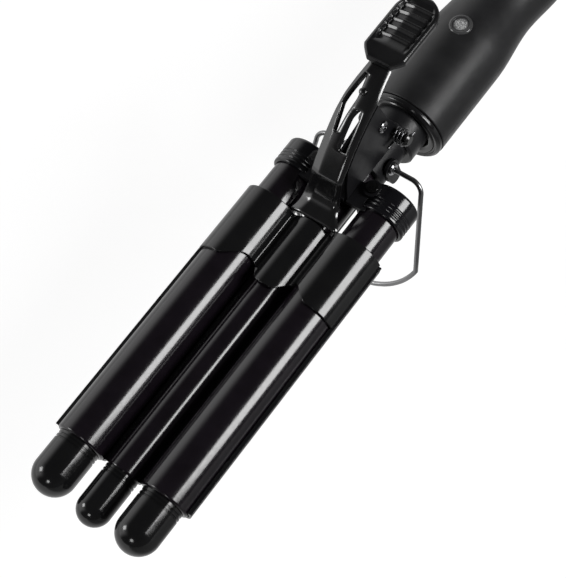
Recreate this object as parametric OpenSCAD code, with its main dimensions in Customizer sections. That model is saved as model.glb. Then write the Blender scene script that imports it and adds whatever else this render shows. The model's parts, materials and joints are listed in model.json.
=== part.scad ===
// Three-barrel hair waver with a winged hair tray, a spring-loaded clamp and a wire kickstand.
// Millimetres. +Z is up, +Y runs from the barrel tips to the cord end, +X is the right-hand side.
// The origin is the centre of the cord inlet, at the rear face of the swivel gland.

/* [Barrels] */
// Diameter of the two outer barrels
barrel_d = 25.4; // [24.6:0.1:26]
// Diameter of the outer barrels behind the saddle
core_d = 22; // [20:0.2:22.6]
// Diameter of the middle barrel
mid_d = 17; // [14:0.5:19]
// Spacing from the middle barrel to each outer one
barrel_pitch = 24.7; // [24:0.1:28]
// How far the middle barrel lies below the outer ones
mid_drop = 2.6; // [1:0.1:4]
// Wall of the barrel tubes
barrel_wall = 1.2; // [0.8:0.1:1.4]
// Straight length of an outer barrel from cap seam to collar
barrel_len = 164.8; // [150:0.2:190]
// Diameter of the outer tip caps
cap_d = 21.6; // [20:0.2:22]
// Straight length of a tip cap
cap_len = 17.2; // [12:0.2:24]
// Length of the rolled mouth of an outer barrel
mouth_len = 2.5; // [2:0.5:5]
// Depth of the double ring groove on the caps
groove_depth = 0.4; // [0.2:0.1:0.6]
// Depth of a cap's spigot inside its barrel
spigot_len = 10; // [8:1:16]

/* [Hair tray] */
// Radial gap for hair between an outer barrel and its wing
hair_gap = 0.6; // [0.5:0.1:1.2]
// Sheet thickness of the tray
tray_t = 1; // [0.8:0.1:1.2]
// Height of the wing's outer edge above the barrel axis
wing_lip_z = 1.5; // [0:0.1:2]
// Width of the turned-out lip on the wing
wing_lip = 1.4; // [1:0.1:3]
// Length of the tray
tray_len = 144.6; // [130:0.2:150]
// Width of the arm that joins the tray to the bracket
tray_arm_w = 12; // [8:0.5:14]

/* [Saddle] */
// Wall of the saddle over the outer barrels
saddle_wall = 1.8; // [1.6:0.1:2.4]
// Wall of the saddle over the middle barrel
saddle_mid_wall = 2.3; // [1.5:0.1:3]
// Length of the saddle
saddle_len = 38.8; // [30:0.1:44]
// Bare barrel between saddle and collar
bare_len = 18.2; // [12:0.2:22]
// Depth of the round notches in the saddle's front edge, between its three crowns
notch = 7.7; // [3:0.1:9]
// Height of the web that fills the saddle's valleys
saddle_web_z = 4.6; // [3:0.2:7]

/* [Collars and yoke] */
// Outer diameter of a collar
collar_d = 25.8; // [24.8:0.2:27.2]
// Length of a collar
collar_len = 15.2; // [12:0.2:20]
// Thickness of a collar's closed rear wall
collar_end = 3.2; // [2:0.2:5]
// Width of the yoke plate along the barrels
yoke_len = 13; // [10:0.5:16]
// Thickness of the yoke plate
yoke_t = 3; // [2:0.2:4]
// Diameter of the round bosses that join the yoke to the collars
boss_d = 9; // [7:0.5:11]

/* [Lever] */
// Half width of the lever at its middle
lever_half_w = 9; // [8.6:0.1:11]
// Half width of the lever under the pad
lever_tail_half_w = 5.8; // [5:0.1:8]
// Thickness of the lever
lever_t = 3.2; // [2.4:0.1:4]
// Reach of the window to the left of the lever's centre
window_left = 5.9; // [4:0.1:6.2]
// Reach of the window to the right of the lever's centre
window_right = 4.5; // [4:0.1:6.2]
// Width of the centre rib in the window
rib_w = 3.6; // [2.5:0.1:4]
// Height of the lever's knee above its foot
knee_rise = 19; // [17:0.5:21]
// How far the arch's control point lies in front of the handle
bend_reach = 36; // [33:0.5:39]
// How far that point lies below the lever's top
bend_drop = 7; // [5:0.5:9]
// Length of the lever's tail under the pad
lever_tail_len = 26; // [22:0.5:30]
// Length over which the lever narrows towards the pad
taper_len = 20; // [17:0.5:24]
// Height of the lever's top at the pad, above the barrel axis
lever_top_z = 57; // [52:0.5:62]

/* [Thumb pad] */
// Width of the thumb pad
pad_w = 23; // [20:0.5:26]
// Length of the thumb pad
pad_len = 41; // [34:0.5:46]
// Thickness of the thumb pad
pad_t = 4.2; // [3.4:0.2:6]
// Number of grip ribs on the pad
pad_ribs = 5; // [4:1:8]
// Spacing of the grip ribs
pad_rib_pitch = 4.7; // [3.5:0.1:5]

/* [Hinge] */
// Diameter of the hinge pin
pin_d = 4; // [3:0.1:5]
// Radial running clearance on the hinge pin
pin_fit = 0.06; // [0.03:0.01:0.1]
// Height of the hinge axis above the barrel axis
hinge_z = 16; // [14:0.5:20]
// Radius of the hinge eyes
eye_r = 4.6; // [4:0.1:5.4]
// Thickness of the bracket's cheeks and the clamp's hinge plates
plate_t = 1.6; // [1.2:0.1:2]
// Distance from the centre plane to the inside of a bracket cheek
cheek_in = 4.8; // [3.5:0.1:5.5]
// Side gap between a bracket cheek and a hinge plate
side_gap = 0.6; // [0.4:0.1:0.8]
// Wire diameter of the hinge spring
spring_wire = 1.2; // [0.8:0.1:1.4]
// Number of turns of the hinge spring
spring_turns = 3; // [2:1:4]
// Pitch of the hinge spring
spring_pitch = 1.8; // [1.7:0.1:2.4]

/* [Bracket and neck] */
// Outer radius of the bracket's ring
ring_r = 12; // [11:0.1:13]
// Length of the bracket's ring
bracket_len = 19; // [15:0.5:22]
// Outer radius of the neck sleeve
sleeve_r = 14.5; // [13.5:0.1:16]
// Length of the neck sleeve in front of the handle
sleeve_out = 13; // [11:0.5:15]

/* [Kickstand] */
// Diameter of the kickstand wire
wire_d = 2.5; // [1.8:0.1:3]
// Half width of the loop at its pivot
kick_half_w = 31; // [30:0.5:36]
// Half width of the loop where its arms end
kick_foot_half_w = 37; // [34:0.5:40]
// Length of a kickstand arm
kick_arm = 51; // [44:0.5:56]
// Depth of the loop's round foot
kick_reach = 76; // [70:0.5:84]
// Angle of the deployed loop below the barrels
kick_angle = 65.5; // [55:0.5:75]

/* [Handle] */
// Radius of the handle at its front ring
handle_front_r = 21.8; // [20:0.1:23]
// Radius of the handle at the power button
handle_belly_r = 22; // [20:0.1:24]
// Radius of the handle at its waist
handle_waist_r = 19.4; // [18:0.1:21]
// Radius of the handle near its rear end
handle_heel_r = 21.6; // [19:0.1:23]
// Length of the handle behind its front ring
handle_len = 149.5; // [130:0.5:170]
// Wall of the handle shells
handle_wall = 2.4; // [1.8:0.1:3]
// How far the handle's axis lies below the barrel axis
handle_drop = 8; // [5:0.2:10]
// Length of the front ring
front_ring_len = 3.5; // [2.5:0.1:5]

/* [Power button] */
// Distance from the handle's front to the button
button_pos = 53.4; // [40:0.5:60]
// Outer diameter of the button's bezel
bezel_d = 12; // [10:0.2:14]
// Diameter of the button
button_d = 8.4; // [6:0.2:8.6]
// Travel of the button
button_travel = 0.8; // [0.5:0.1:1]

/* [Cord gland] */
// Outer diameter of the swivel gland
gland_d = 13; // [11:0.5:16]
// Bore of the gland for the cord
cord_bore_d = 6.5; // [5:0.1:8]
// Length of the gland outside the handle
gland_out = 12; // [8:0.5:20]
// Radial running clearance of the gland
gland_fit = 0.1; // [0.05:0.01:0.1]

/* [Hidden] */
$fn = 72;
FINE = 96;
SMALL = 32;

gap = 0.05;
seat = 0.02;
barrel_r = barrel_d / 2;
core_r = core_d / 2;
cap_r = cap_d / 2;
mid_r = mid_d / 2;
collar_r = collar_d / 2;

// Stations along Y, measured from the front face of the handle
handle_y = 0;
sleeve_y = handle_y - sleeve_out;
hinge_y = sleeve_y - 3;
bracket_rear_y = sleeve_y - 2;
bracket_front_y = bracket_rear_y - bracket_len;
collar_rear_y = handle_y - 39;
collar_front_y = collar_rear_y - collar_len;
saddle_rear_y = collar_front_y - bare_len;
saddle_front_y = saddle_rear_y - saddle_len;
seam_y = collar_front_y - barrel_len;
tray_front_y = seam_y + 1.4;
tray_rear_y = tray_front_y + tray_len;
handle_rear_y = handle_y + handle_len;
inlet_y = handle_rear_y + gland_out;
mid_z = -mid_drop;
axis_z = -handle_drop;
sleeve_z = (mid_z + axis_z) / 2;

module placed() translate([0, -inlet_y, handle_drop]) children();
module along_y() rotate([-90, 0, 0]) children();
module y_cyl(r, y0, y1, x = 0, z = 0) translate([x, y0, z]) along_y() cylinder(r = r, h = y1 - y0);
module x_cyl(r, x0, x1, y, z) translate([x0, y, z]) rotate([0, 90, 0]) cylinder(r = r, h = x1 - x0);
module z_cyl(r, z0, z1, x, y) translate([x, y, z0]) cylinder(r = r, h = z1 - z0);
module block(x0, x1, y0, y1, z0, z1) translate([x0, y0, z0]) cube([x1 - x0, y1 - y0, z1 - z0]);
// A plate across X, drawn by its outline in Y and Z
module plate(x0, x1) translate([x0, 0, 0]) rotate([90, 0, 90]) linear_extrude(x1 - x0) children();
// A sheet along Y, drawn by its section in X and Z
module section(y0, y1) translate([0, y1, 0]) rotate([90, 0, 0]) linear_extrude(y1 - y0) children();

function smooth(t) = t * t * (3 - 2 * t);
function mix(a, b, t) = a + (b - a) * t;

// ---- Barrels, caps and heaters ----
module tube(r, y0, y1, x, z) {
    difference() {
        y_cyl(r, y0, y1, x, z);
        y_cyl(r - barrel_wall, y0 - 1, y1 + 1, x, z);
    }
}

// An outer barrel narrows at the saddle's rear edge, and its mouth is rolled in over the cap's flange
step_y = saddle_rear_y - 1;
mouth_lip = 0.4;
mouth_curve = [for (a = [0:15:90])
    [cap_r + mouth_lip + (barrel_r - cap_r - mouth_lip) * sin(a), mouth_len * (1 - cos(a))]];
module outer_barrel(x) difference() {
    step = step_y - seam_y;
    rear = barrel_rear_y - gap - seam_y;
    translate([x, seam_y, 0]) along_y() rotate_extrude($fn = FINE) polygon(concat(mouth_curve, [
        [barrel_r, step], [core_r, step], [core_r, rear], [core_r - barrel_wall, rear],
        [core_r - barrel_wall, step - 2], [barrel_r - barrel_wall, step - 2],
        [barrel_r - barrel_wall, mouth_len + 1], [cap_r + seat, mouth_len - 1], [cap_r + seat, 0]]));
    for (y = saddle_rivet_y) z_cyl(saddle_rivet_d / 2 + seat, 0, barrel_r + 1, x, y);
}

// All three tips end level, so a thinner cap has a longer straight part.
// The neck passes the barrel's mouth and the flange fills the tube behind it.
module cap(r, neck, flange, x, z) {
    len = cap_len + cap_r - r;
    arc = [for (a = [0:6:90]) [r * sin(a), -r * cos(a)]];
    groove = [for (d = [len - 4.2, len - 2.4]) [
        [r, d], [r - groove_depth, d + 0.2], [r - groove_depth, d + 0.8], [r, d + 1]]];
    translate([x, seam_y - len, z]) along_y() rotate_extrude($fn = FINE)
        polygon(concat(arc, groove[0], groove[1], [
            [r, len], [neck, len], [neck, len + mouth_len + 1.2], [flange, len + mouth_len + 1.2],
            [flange, len + spigot_len], [0, len + spigot_len]]));
}

heater_w = 11;
heater_t = 4;
heater_y0 = seam_y + spigot_len + 10;
heater_y1 = saddle_front_y;

// A heating plate between two aluminium half rounds that fill the tube
module heater(r, x, z) {
    core = r - barrel_wall - gap;
    difference() {
        y_cyl(core, heater_y0, heater_y1, x, z);
        block(x - core, x + core, heater_y0 - 1, heater_y1 + 1, z - heater_t / 2, z + heater_t / 2);
    }
    block(x - heater_w / 2, x + heater_w / 2, heater_y0, heater_y1, z - heater_t / 2, z + heater_t / 2);
}

barrel_rear_y = collar_rear_y - collar_end;
module left_barrel() color([0.07, 0.06, 0.07]) placed() outer_barrel(-barrel_pitch);
module right_barrel() color([0.07, 0.06, 0.07]) placed() outer_barrel(barrel_pitch);
middle_rear_y = handle_y + 4;
module middle_barrel() color([0.07, 0.06, 0.07]) placed() difference() {
    tube(mid_r, seam_y, middle_rear_y, 0, mid_z);
    for (y = tray_rivet_y) z_cyl(tray_rivet_d / 2 + seat, mid_z - mid_r - 1, mid_z - mid_r + 3, 0, y);
}
flange_of_outer = barrel_r - barrel_wall - gap;
flange_of_middle = mid_r - barrel_wall - gap;
module left_cap() color([0.03, 0.03, 0.03]) placed() cap(cap_r, cap_r, flange_of_outer, -barrel_pitch, 0);
module right_cap() color([0.03, 0.03, 0.03]) placed() cap(cap_r, cap_r, flange_of_outer, barrel_pitch, 0);
module middle_cap() color([0.03, 0.03, 0.03]) placed() cap(mid_r, flange_of_middle, flange_of_middle, 0, mid_z);
module left_heater() color("silver") placed() heater(barrel_r, -barrel_pitch, 0);
module right_heater() color("silver") placed() heater(barrel_r, barrel_pitch, 0);
module middle_heater() color("silver") placed() heater(mid_r, 0, mid_z);

// ---- Hair tray ----
wing_in = barrel_r + hair_gap;
wing_out = wing_in + tray_t;
bridge_z = mid_z - 1.4;
arm_top_z = mid_z - mid_r - gap;

module tray_section() {
    for (s = [-1, 1]) {
        difference() {
            translate([s * barrel_pitch, 0]) circle(r = wing_out, $fn = FINE);
            translate([s * barrel_pitch, 0]) circle(r = wing_in, $fn = FINE);
            translate([s * barrel_pitch - wing_out - 1, wing_lip_z]) square(2 * wing_out + 2);
            translate([s > 0 ? 0 : -barrel_pitch, bridge_z]) square([barrel_pitch, 2 * wing_out]);
        }
        translate([s > 0 ? barrel_pitch + wing_out - 0.5 : -barrel_pitch - wing_out - wing_lip + 0.5,
            wing_lip_z - tray_t]) square([wing_lip, tray_t]);
        translate([s > 0 ? mid_r + 0.4 : -mid_r - 0.4 - (barrel_pitch - wing_in + 0.6 - mid_r - 0.4),
            bridge_z - tray_t]) square([barrel_pitch - wing_in + 0.6 - mid_r - 0.4, tray_t]);
    }
    difference() {
        translate([0, mid_z]) circle(r = mid_r + gap + tray_t, $fn = FINE);
        translate([0, mid_z]) circle(r = mid_r + gap, $fn = FINE);
        translate([-2 * mid_r, bridge_z]) square(4 * mid_r);
    }
}

tray_rivet_d = 3;
tray_rivet_y = [bracket_front_y + 4, bracket_rear_y - 4];
module wing_tray() color([0.1, 0.1, 0.11]) placed() difference() {
    union() {
        section(tray_front_y, tray_rear_y) tray_section();
        block(-tray_arm_w / 2, tray_arm_w / 2, tray_rear_y - 8, bracket_rear_y,
            arm_top_z - tray_t, arm_top_z);
    }
    for (y = tray_rivet_y) z_cyl(tray_rivet_d / 2 + seat, arm_top_z - 9, arm_top_z + 1, 0, y);
}

// Two rivets hold the tray's arm under the middle tube, in the slot of the bracket's ring
module tray_rivets() color("silver") placed() for (y = tray_rivet_y) {
    z_cyl(tray_rivet_d / 2, arm_top_z - tray_t - 1, arm_top_z + barrel_wall, 0, y);
    z_cyl(tray_rivet_d * 0.85, arm_top_z - tray_t - 1.2, arm_top_z - tray_t - seat, 0, y);
}

// ---- Saddle over the rear of the barrels ----
saddle_r = barrel_r + saddle_wall;
saddle_mid_in = mid_r + 0.6;
saddle_mid_r = saddle_mid_in + saddle_mid_wall;
saddle_skirt_z = wing_lip_z + 0.4;

module saddle_section() difference() {
    union() {
        for (s = [-1, 1]) translate([s * barrel_pitch, 0]) circle(r = saddle_r, $fn = FINE);
        translate([0, mid_z]) circle(r = saddle_mid_r, $fn = FINE);
        translate([-barrel_pitch, 0]) square([2 * barrel_pitch, saddle_web_z]);
    }
    for (s = [-1, 1]) translate([s * barrel_pitch, 0]) circle(r = barrel_r + seat, $fn = FINE);
    translate([0, mid_z]) circle(r = saddle_mid_in, $fn = FINE);
    translate([-3 * barrel_pitch, saddle_skirt_z - 4 * saddle_r]) square([6 * barrel_pitch, 4 * saddle_r]);
}

saddle_rivet_d = 3;
saddle_rivet_y = [saddle_front_y + 9, saddle_rear_y - 9];
saddle_skin = 0.6;
notch_r = 5.5;
notch_x = barrel_pitch / 2 + 0.9;
module saddle() color([0.05, 0.05, 0.055]) placed() difference() {
    section(saddle_front_y, saddle_rear_y) saddle_section();
    for (s = [-1, 1], y = saddle_rivet_y)
        z_cyl(saddle_rivet_d / 2 + seat, 0, saddle_r - saddle_skin, s * barrel_pitch, y);
    for (s = [-1, 1])
        z_cyl(notch_r, 0, saddle_r + 1, s * notch_x, saddle_front_y + notch - notch_r);
}
// Blind rivets, headed inside the tubes and hidden under the saddle's crown
module saddle_rivets() color("dimgray") placed() for (s = [-1, 1], y = saddle_rivet_y) {
    inside = barrel_r - barrel_wall;
    z_cyl(saddle_rivet_d / 2, inside - 1.2, saddle_r - saddle_skin - gap, s * barrel_pitch, y);
    z_cyl(saddle_rivet_d * 0.75, inside - 1.2, inside - 0.3, s * barrel_pitch, y);
}

// ---- Collars and yoke ----
collar_round = 1.6;
module collar(x) difference() {
    translate([x, collar_front_y, 0]) along_y() rotate_extrude($fn = FINE) polygon(concat(
        [[0, 0], [collar_r - 0.8, 0], [collar_r, 0.8]],
        [for (g = [2.2, 4.2, 6.2]) each [
            [collar_r, g], [collar_r - groove_depth, g + 0.3],
            [collar_r - groove_depth, g + 0.9], [collar_r, g + 1.2]]],
        [for (a = [0:15:90]) [collar_r - collar_round + collar_round * cos(a),
            collar_len - collar_round + collar_round * sin(a)]],
        [[0, collar_len]]));
    y_cyl(core_r + seat, collar_front_y - 1, barrel_rear_y, x, 0);
    z_cyl(1.5 + seat, 0, 3 * collar_r, x > 0 ? boss_x : -boss_x, boss_y);
}
module left_collar() color([0.09, 0.09, 0.1]) placed() collar(-barrel_pitch);
module right_collar() color([0.09, 0.09, 0.1]) placed() collar(barrel_pitch);

yoke_z0 = mid_z + mid_r + 1.2;
yoke_z1 = yoke_z0 + yoke_t;
yoke_y0 = collar_front_y - 2;
yoke_y1 = yoke_y0 + yoke_len;
boss_x = barrel_pitch - 8.6;
boss_y = collar_rear_y - collar_end - 2.4;
boss_z = yoke_z1 + 2;
hinge_x0 = cheek_in + plate_t + side_gap;
hinge_x1 = hinge_x0 + plate_t;

module bar2d(y0, z0, y1, z1, r) {
    d = [y1 - y0, z1 - z0];
    translate([y0, z0]) rotate(atan2(d[1], d[0])) translate([0, -r]) square([norm(d), 2 * r]);
}

module yoke() color([0.2, 0.2, 0.21]) placed() difference() {
    union() {
        block(-barrel_pitch, barrel_pitch, yoke_y0, yoke_y1, yoke_z0, yoke_z1);
        for (s = [-1, 1]) z_cyl(boss_d / 2, yoke_z0, boss_z, s * boss_x, boss_y);
        plate(-hinge_x1, -hinge_x0) {
            translate([hinge_y, hinge_z]) circle(r = eye_r);
            bar2d(yoke_y1 - 4, yoke_z0 + 1.7, hinge_y, hinge_z, 2.4);
        }
        block(-hinge_x1, -hinge_x0, yoke_y1 - 8, yoke_y1, yoke_z0, yoke_z1 + 1);
    }
    for (s = [-1, 1]) {
        y_cyl(collar_r + seat, collar_front_y, collar_rear_y + 1, s * barrel_pitch, 0);
        y_cyl(core_r + 0.5, collar_front_y - 9, collar_front_y + 1, s * barrel_pitch, 0);
        z_cyl(1.5 + seat, yoke_z0 - 9, boss_z + 1, s * boss_x, boss_y);
    }
    x_cyl(pin_d / 2 + pin_fit, -hinge_x1 - 1, -hinge_x0 + 1, hinge_y, hinge_z);
    block(hinge_x0 - seat, hinge_x1 + seat, yoke_y0 - 1, yoke_y1 + 1, yoke_z0 + 1, yoke_z1 + 1);
}

module collar_screws() color("gray") placed() difference() {
    for (s = [-1, 1]) {
        z_cyl(1.5, 2.5, boss_z + gap, s * boss_x, boss_y);
        z_cyl(3, boss_z + seat, boss_z + 1.4, s * boss_x, boss_y);
    }
    for (s = [-1, 1]) y_cyl(core_r + gap, collar_front_y, collar_rear_y, s * barrel_pitch, 0);
}

// ---- Lever, rib and pad ----
// Top line of the lever in Y and Z: up from its foot, then along its arch to the pad
foot_y = yoke_y0 - 5;
foot_z = yoke_z0;
lever_knee = [foot_y + 3.5, foot_z + knee_rise];
lever_top = [handle_y - 7, lever_top_z];
lever_bend = [handle_y - bend_reach, lever_top_z - bend_drop];
function arch(t) = (1 - t) * (1 - t) * lever_knee + 2 * t * (1 - t) * lever_bend + t * t * lever_top;
function arch_dir(t) = let (d = (1 - t) * (lever_bend - lever_knee) + t * (lever_top - lever_bend)) d / norm(d);
function arch_in(t, d) = arch(t) + d * [arch_dir(t)[1], -arch_dir(t)[0]];
ARCH = [for (i = [0:16]) i / 16];
tail_y = lever_top[0] + lever_tail_len;
foot_t = 5;

module lever_outline() polygon(concat(
    [[foot_y, foot_z + 1]], [for (t = ARCH) arch(t)],
    [[tail_y, lever_top_z], [tail_y, lever_top_z - lever_t]],
    [for (i = [16:-1:0]) arch_in(ARCH[i], lever_t)],
    [[foot_y + foot_t + 2, foot_z + 12], [foot_y + foot_t + 2, yoke_z1 + seat],
        [yoke_y0 - seat, yoke_z1 + seat], [yoke_y0 - seat, foot_z], [foot_y + 1, foot_z]]));

window_y0 = foot_y + 14;
window_y1 = lever_top[0] + 2;
module lever_plan() {
    w = lever_half_w;
    n = lever_tail_half_w;
    polygon([
        [foot_y - 2, -w + 1], [foot_y - 2, w - 1], [foot_y + 12, w], [window_y1 - taper_len, w],
        [window_y1, n], [tail_y + 1, n], [tail_y + 1, -n], [window_y1, -n],
        [window_y1 - taper_len, -w], [foot_y + 12, -w]]);
}
module lever_window() {
    l = -window_left;
    r = window_right;
    difference() {
        polygon([
            [window_y0 + 7, l + 1.6], [window_y0, -0.5], [window_y0, r - 1.2], [window_y0 + 2, r],
            [window_y1 - 18, r], [window_y1 - 2, 2.6], [window_y1, 0], [window_y1 - 2, -2.8],
            [window_y1 - 9, l + 1.4], [window_y1 - 18, l], [window_y0 + 11, l]]);
        translate([window_y0 - 1, -rib_w / 2 - 0.1]) square([window_y1 - window_y0 + 2, rib_w + 0.2]);
    }
}
// Plans are drawn in Y and X
module plan(z0, z1) translate([0, 0, z0]) linear_extrude(z1 - z0) mirror([1, -1]) children();

// The toe spreads from the foot to the saddle's rear edge
toe_left = 12;
toe_right = 8.8;
toe_flare = barrel_pitch - core_r + 1.2;
toe_t = 2.6;
toe_y0 = saddle_rear_y + seat;
toe_y1 = yoke_y0 - seat;
module lever_toe() {
    function along(t) = mix(toe_y1, toe_y0, t);
    polygon([
        [toe_y1, -toe_left], [along(0.5), 1 - toe_left], [toe_y0, -toe_left - 1], [toe_y0, toe_flare],
        [along(0.85), toe_flare], [along(0.55), toe_right + 2], [along(0.3), toe_right], [toe_y1, toe_right]]);
}

module lever() color([0.03, 0.03, 0.03]) placed() difference() {
    union() {
        intersection() {
            plate(-lever_half_w, lever_half_w) lever_outline();
            plan(foot_z - 1, lever_top_z + 3) lever_plan();
        }
        plan(foot_z, foot_z + toe_t) lever_toe();
    }
    plan(foot_z + 12, lever_top_z + 3) lever_window();
    plan(foot_z + 12, lever_top_z + 3) translate([window_y0 - 2, -rib_w / 2 - seat])
        square([window_y1 - window_y0 + 4, rib_w + 2 * seat]);
    block(hinge_x0 - seat, hinge_x1 + seat, foot_y + foot_t, foot_y + foot_t + 3, foot_z - 1, foot_z + 12);
}

// The rib is a strip let into the window, from the foot to the pad
rib_top = -0.8;
module lever_rib() color([0.05, 0.05, 0.05]) placed() difference() {
    intersection() {
        plate(-rib_w / 2, rib_w / 2) polygon(concat(
            [for (t = ARCH) arch_in(t, -rib_top)], [for (i = [16:-1:0]) arch_in(ARCH[i], lever_t + 1.2)]));
        block(-rib_w, rib_w, window_y0 - 2 + seat, window_y1 + 2 - seat, foot_z, lever_top_z + 2);
    }
    across_arch(rivet_t) cylinder(r = rivet_r + seat, h = 2 * lever_t + 4, center = true);
}
rivet_t = 0.72;
rivet_r = 1.2;
// Stands children on the lever's top line, square to it
module across_arch(t) translate([0, arch(t)[0], arch(t)[1]])
    rotate([atan2(arch_dir(t)[1], arch_dir(t)[0]), 0, 0]) children();
module lever_rivet() color("silver") placed() across_arch(rivet_t) {
    translate([0, 0, -lever_t - 1.6]) cylinder(r = rivet_r, h = lever_t + 1);
    translate([0, 0, rib_top + seat]) cylinder(r1 = rivet_r + 0.6, r2 = rivet_r, h = 0.8, $fn = SMALL);
}

pad_y0 = lever_top[0] - 3;
pad_z0 = lever_top_z + seat;
module pad_plan() {
    w = pad_w / 2;
    intersection() {
        union() {
            translate([pad_y0 + pad_len - w, 0]) circle(r = w);
            polygon([
                [pad_y0, -w + 5], [pad_y0 + 6, -w], [pad_y0 + pad_len - w, -w],
                [pad_y0 + pad_len - w, w], [pad_y0 + 6, w], [pad_y0, w - 5]]);
        }
        translate([pad_y0, -w]) square([pad_len, pad_w]);
    }
}
rib_y0 = pad_y0 + 15;
module thumb_pad() color([0.04, 0.04, 0.04]) placed() {
    difference() {
        plan(pad_z0, pad_z0 + pad_t) pad_plan();
        // Dish along the pad
        y_cyl(pad_w, rib_y0 - 2, pad_y0 + pad_len - 5, 0, pad_z0 + pad_t - 1.2 + pad_w);
    }
    for (i = [0:pad_ribs - 1]) intersection() {
        x_cyl(1.1, -pad_w / 2 + 3, pad_w / 2 - 3, rib_y0 + i * pad_rib_pitch, pad_z0 + pad_t - 0.9);
        block(-pad_w, pad_w, pad_y0, pad_y0 + pad_len - 4, pad_z0 + 1, pad_z0 + pad_t + 3);
    }
}

// The tall plate on the right carries the clamp's second hinge eye
plate_screw = [hinge_y - 7, hinge_z + 14];
plate_low_z = max(yoke_z0 + 1.05, mid_z + ring_r - 1.6);
module hinge_plate() color([0.28, 0.28, 0.29]) placed() difference() {
    plate(hinge_x0, hinge_x1) polygon(concat(
        [[yoke_y0 + 1, plate_low_z], [foot_y + foot_t + 2.6, foot_z + 11]],
        [for (t = [0.1, 0.25, 0.4, 0.55, 0.68]) arch_in(t, lever_t + 0.3)],
        [[plate_screw[0] + 4, plate_screw[1] + 3]],
        [for (a = [60:-10:-20]) [hinge_y + eye_r * cos(a), hinge_z + eye_r * sin(a)]],
        [[hinge_y + 3, plate_low_z + 2], [hinge_y + 1, plate_low_z]]));
    x_cyl(pin_d / 2 + pin_fit, hinge_x0 - 1, hinge_x1 + 1, hinge_y, hinge_z);
    x_cyl(1.5 + seat, hinge_x0 - 1, hinge_x1 + 1, plate_screw[0], plate_screw[1]);
}
module hinge_plate_screw() color("silver") placed() {
    x_cyl(1.5, hinge_x0, hinge_x1 + gap, plate_screw[0], plate_screw[1]);
    translate([hinge_x1 + seat, plate_screw[0], plate_screw[1]]) rotate([0, 90, 0])
        cylinder(r1 = 3.1, r2 = 2.2, h = 1.5, $fn = SMALL);
}

// ---- Bracket, hinge pin and spring ----
lug_in = ring_r - 0.6;
lug_out = lug_in + plate_t;
kick_y = hinge_y - 10;
kick_z = 1;
eyelet_r = 3.4;

module bracket() color([0.22, 0.22, 0.23]) placed() difference() {
    union() {
        y_cyl(ring_r, bracket_front_y, bracket_rear_y, 0, mid_z);
        for (s = [-1, 1]) {
            plate(s > 0 ? cheek_in : -cheek_in - plate_t, s > 0 ? cheek_in + plate_t : -cheek_in) {
                translate([hinge_y, hinge_z]) circle(r = eye_r);
                polygon([
                    [bracket_front_y + 4, ring_r + mid_z - 3], [bracket_front_y + 4, ring_r + mid_z - 0.5],
                    [hinge_y - eye_r + 0.4, hinge_z + 1.6], [hinge_y + eye_r - 0.4, hinge_z + 1.6],
                    [bracket_rear_y, hinge_z - 5], [bracket_rear_y, ring_r + mid_z - 3]]);
            }
            plate(s > 0 ? lug_in : -lug_out, s > 0 ? lug_out : -lug_in) {
                translate([kick_y, kick_z]) circle(r = eyelet_r + 1.4);
                translate([kick_y + 2, kick_z - 10]) circle(r = 4);
                bar2d(kick_y + 0.6, kick_z, kick_y + 2, kick_z - 10, 4);
            }
            block(s > 0 ? ring_r - 4 : -lug_out, s > 0 ? lug_out : -ring_r + 4,
                kick_y - 4, kick_y + 4, mid_z - 3, mid_z + 2);
        }
    }
    y_cyl(mid_r + seat, bracket_front_y - 1, bracket_rear_y + 1, 0, mid_z);
    block(-tray_arm_w / 2 - gap, tray_arm_w / 2 + gap, bracket_front_y - 1, bracket_rear_y + 1,
        arm_top_z - 9, arm_top_z + 3);
    x_cyl(pin_d / 2 + seat, -cheek_in - plate_t - 1, cheek_in + plate_t + 1, hinge_y, hinge_z);
    x_cyl(wire_d / 2 + pin_fit, -lug_out - 1, lug_out + 1, kick_y, kick_z);
}

module eyelet(s) difference() {
    x_cyl(eyelet_r, s > 0 ? lug_out : -lug_out - 1.6, s > 0 ? lug_out + 1.6 : -lug_out, kick_y, kick_z);
    x_cyl(wire_d / 2 + pin_fit, -lug_out - 9, lug_out + 9, kick_y, kick_z);
}
module kickstand_eyelets() color("silver") placed() for (s = [-1, 1]) eyelet(s);

spring_mean_r = pin_d / 2 + spring_wire + 0.5;
spring_x0 = hinge_x1 + 1.3;
spring_x1 = spring_x0 + spring_turns * spring_pitch;
pin_left_x = -hinge_x1 - 0.5;
pin_right_x = spring_x1 + 1.6;
module hinge_pin() color("silver") placed() {
    x_cyl(pin_d / 2, pin_left_x, pin_right_x, hinge_y, hinge_z);
    translate([pin_right_x, hinge_y, hinge_z]) rotate([0, 90, 0]) cylinder(r1 = 3.4, r2 = 2.4, h = 1.2, $fn = SMALL);
    translate([pin_left_x, hinge_y, hinge_z]) rotate([0, -90, 0]) cylinder(r1 = 3.4, r2 = 2.4, h = 1.2, $fn = SMALL);
}

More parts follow.
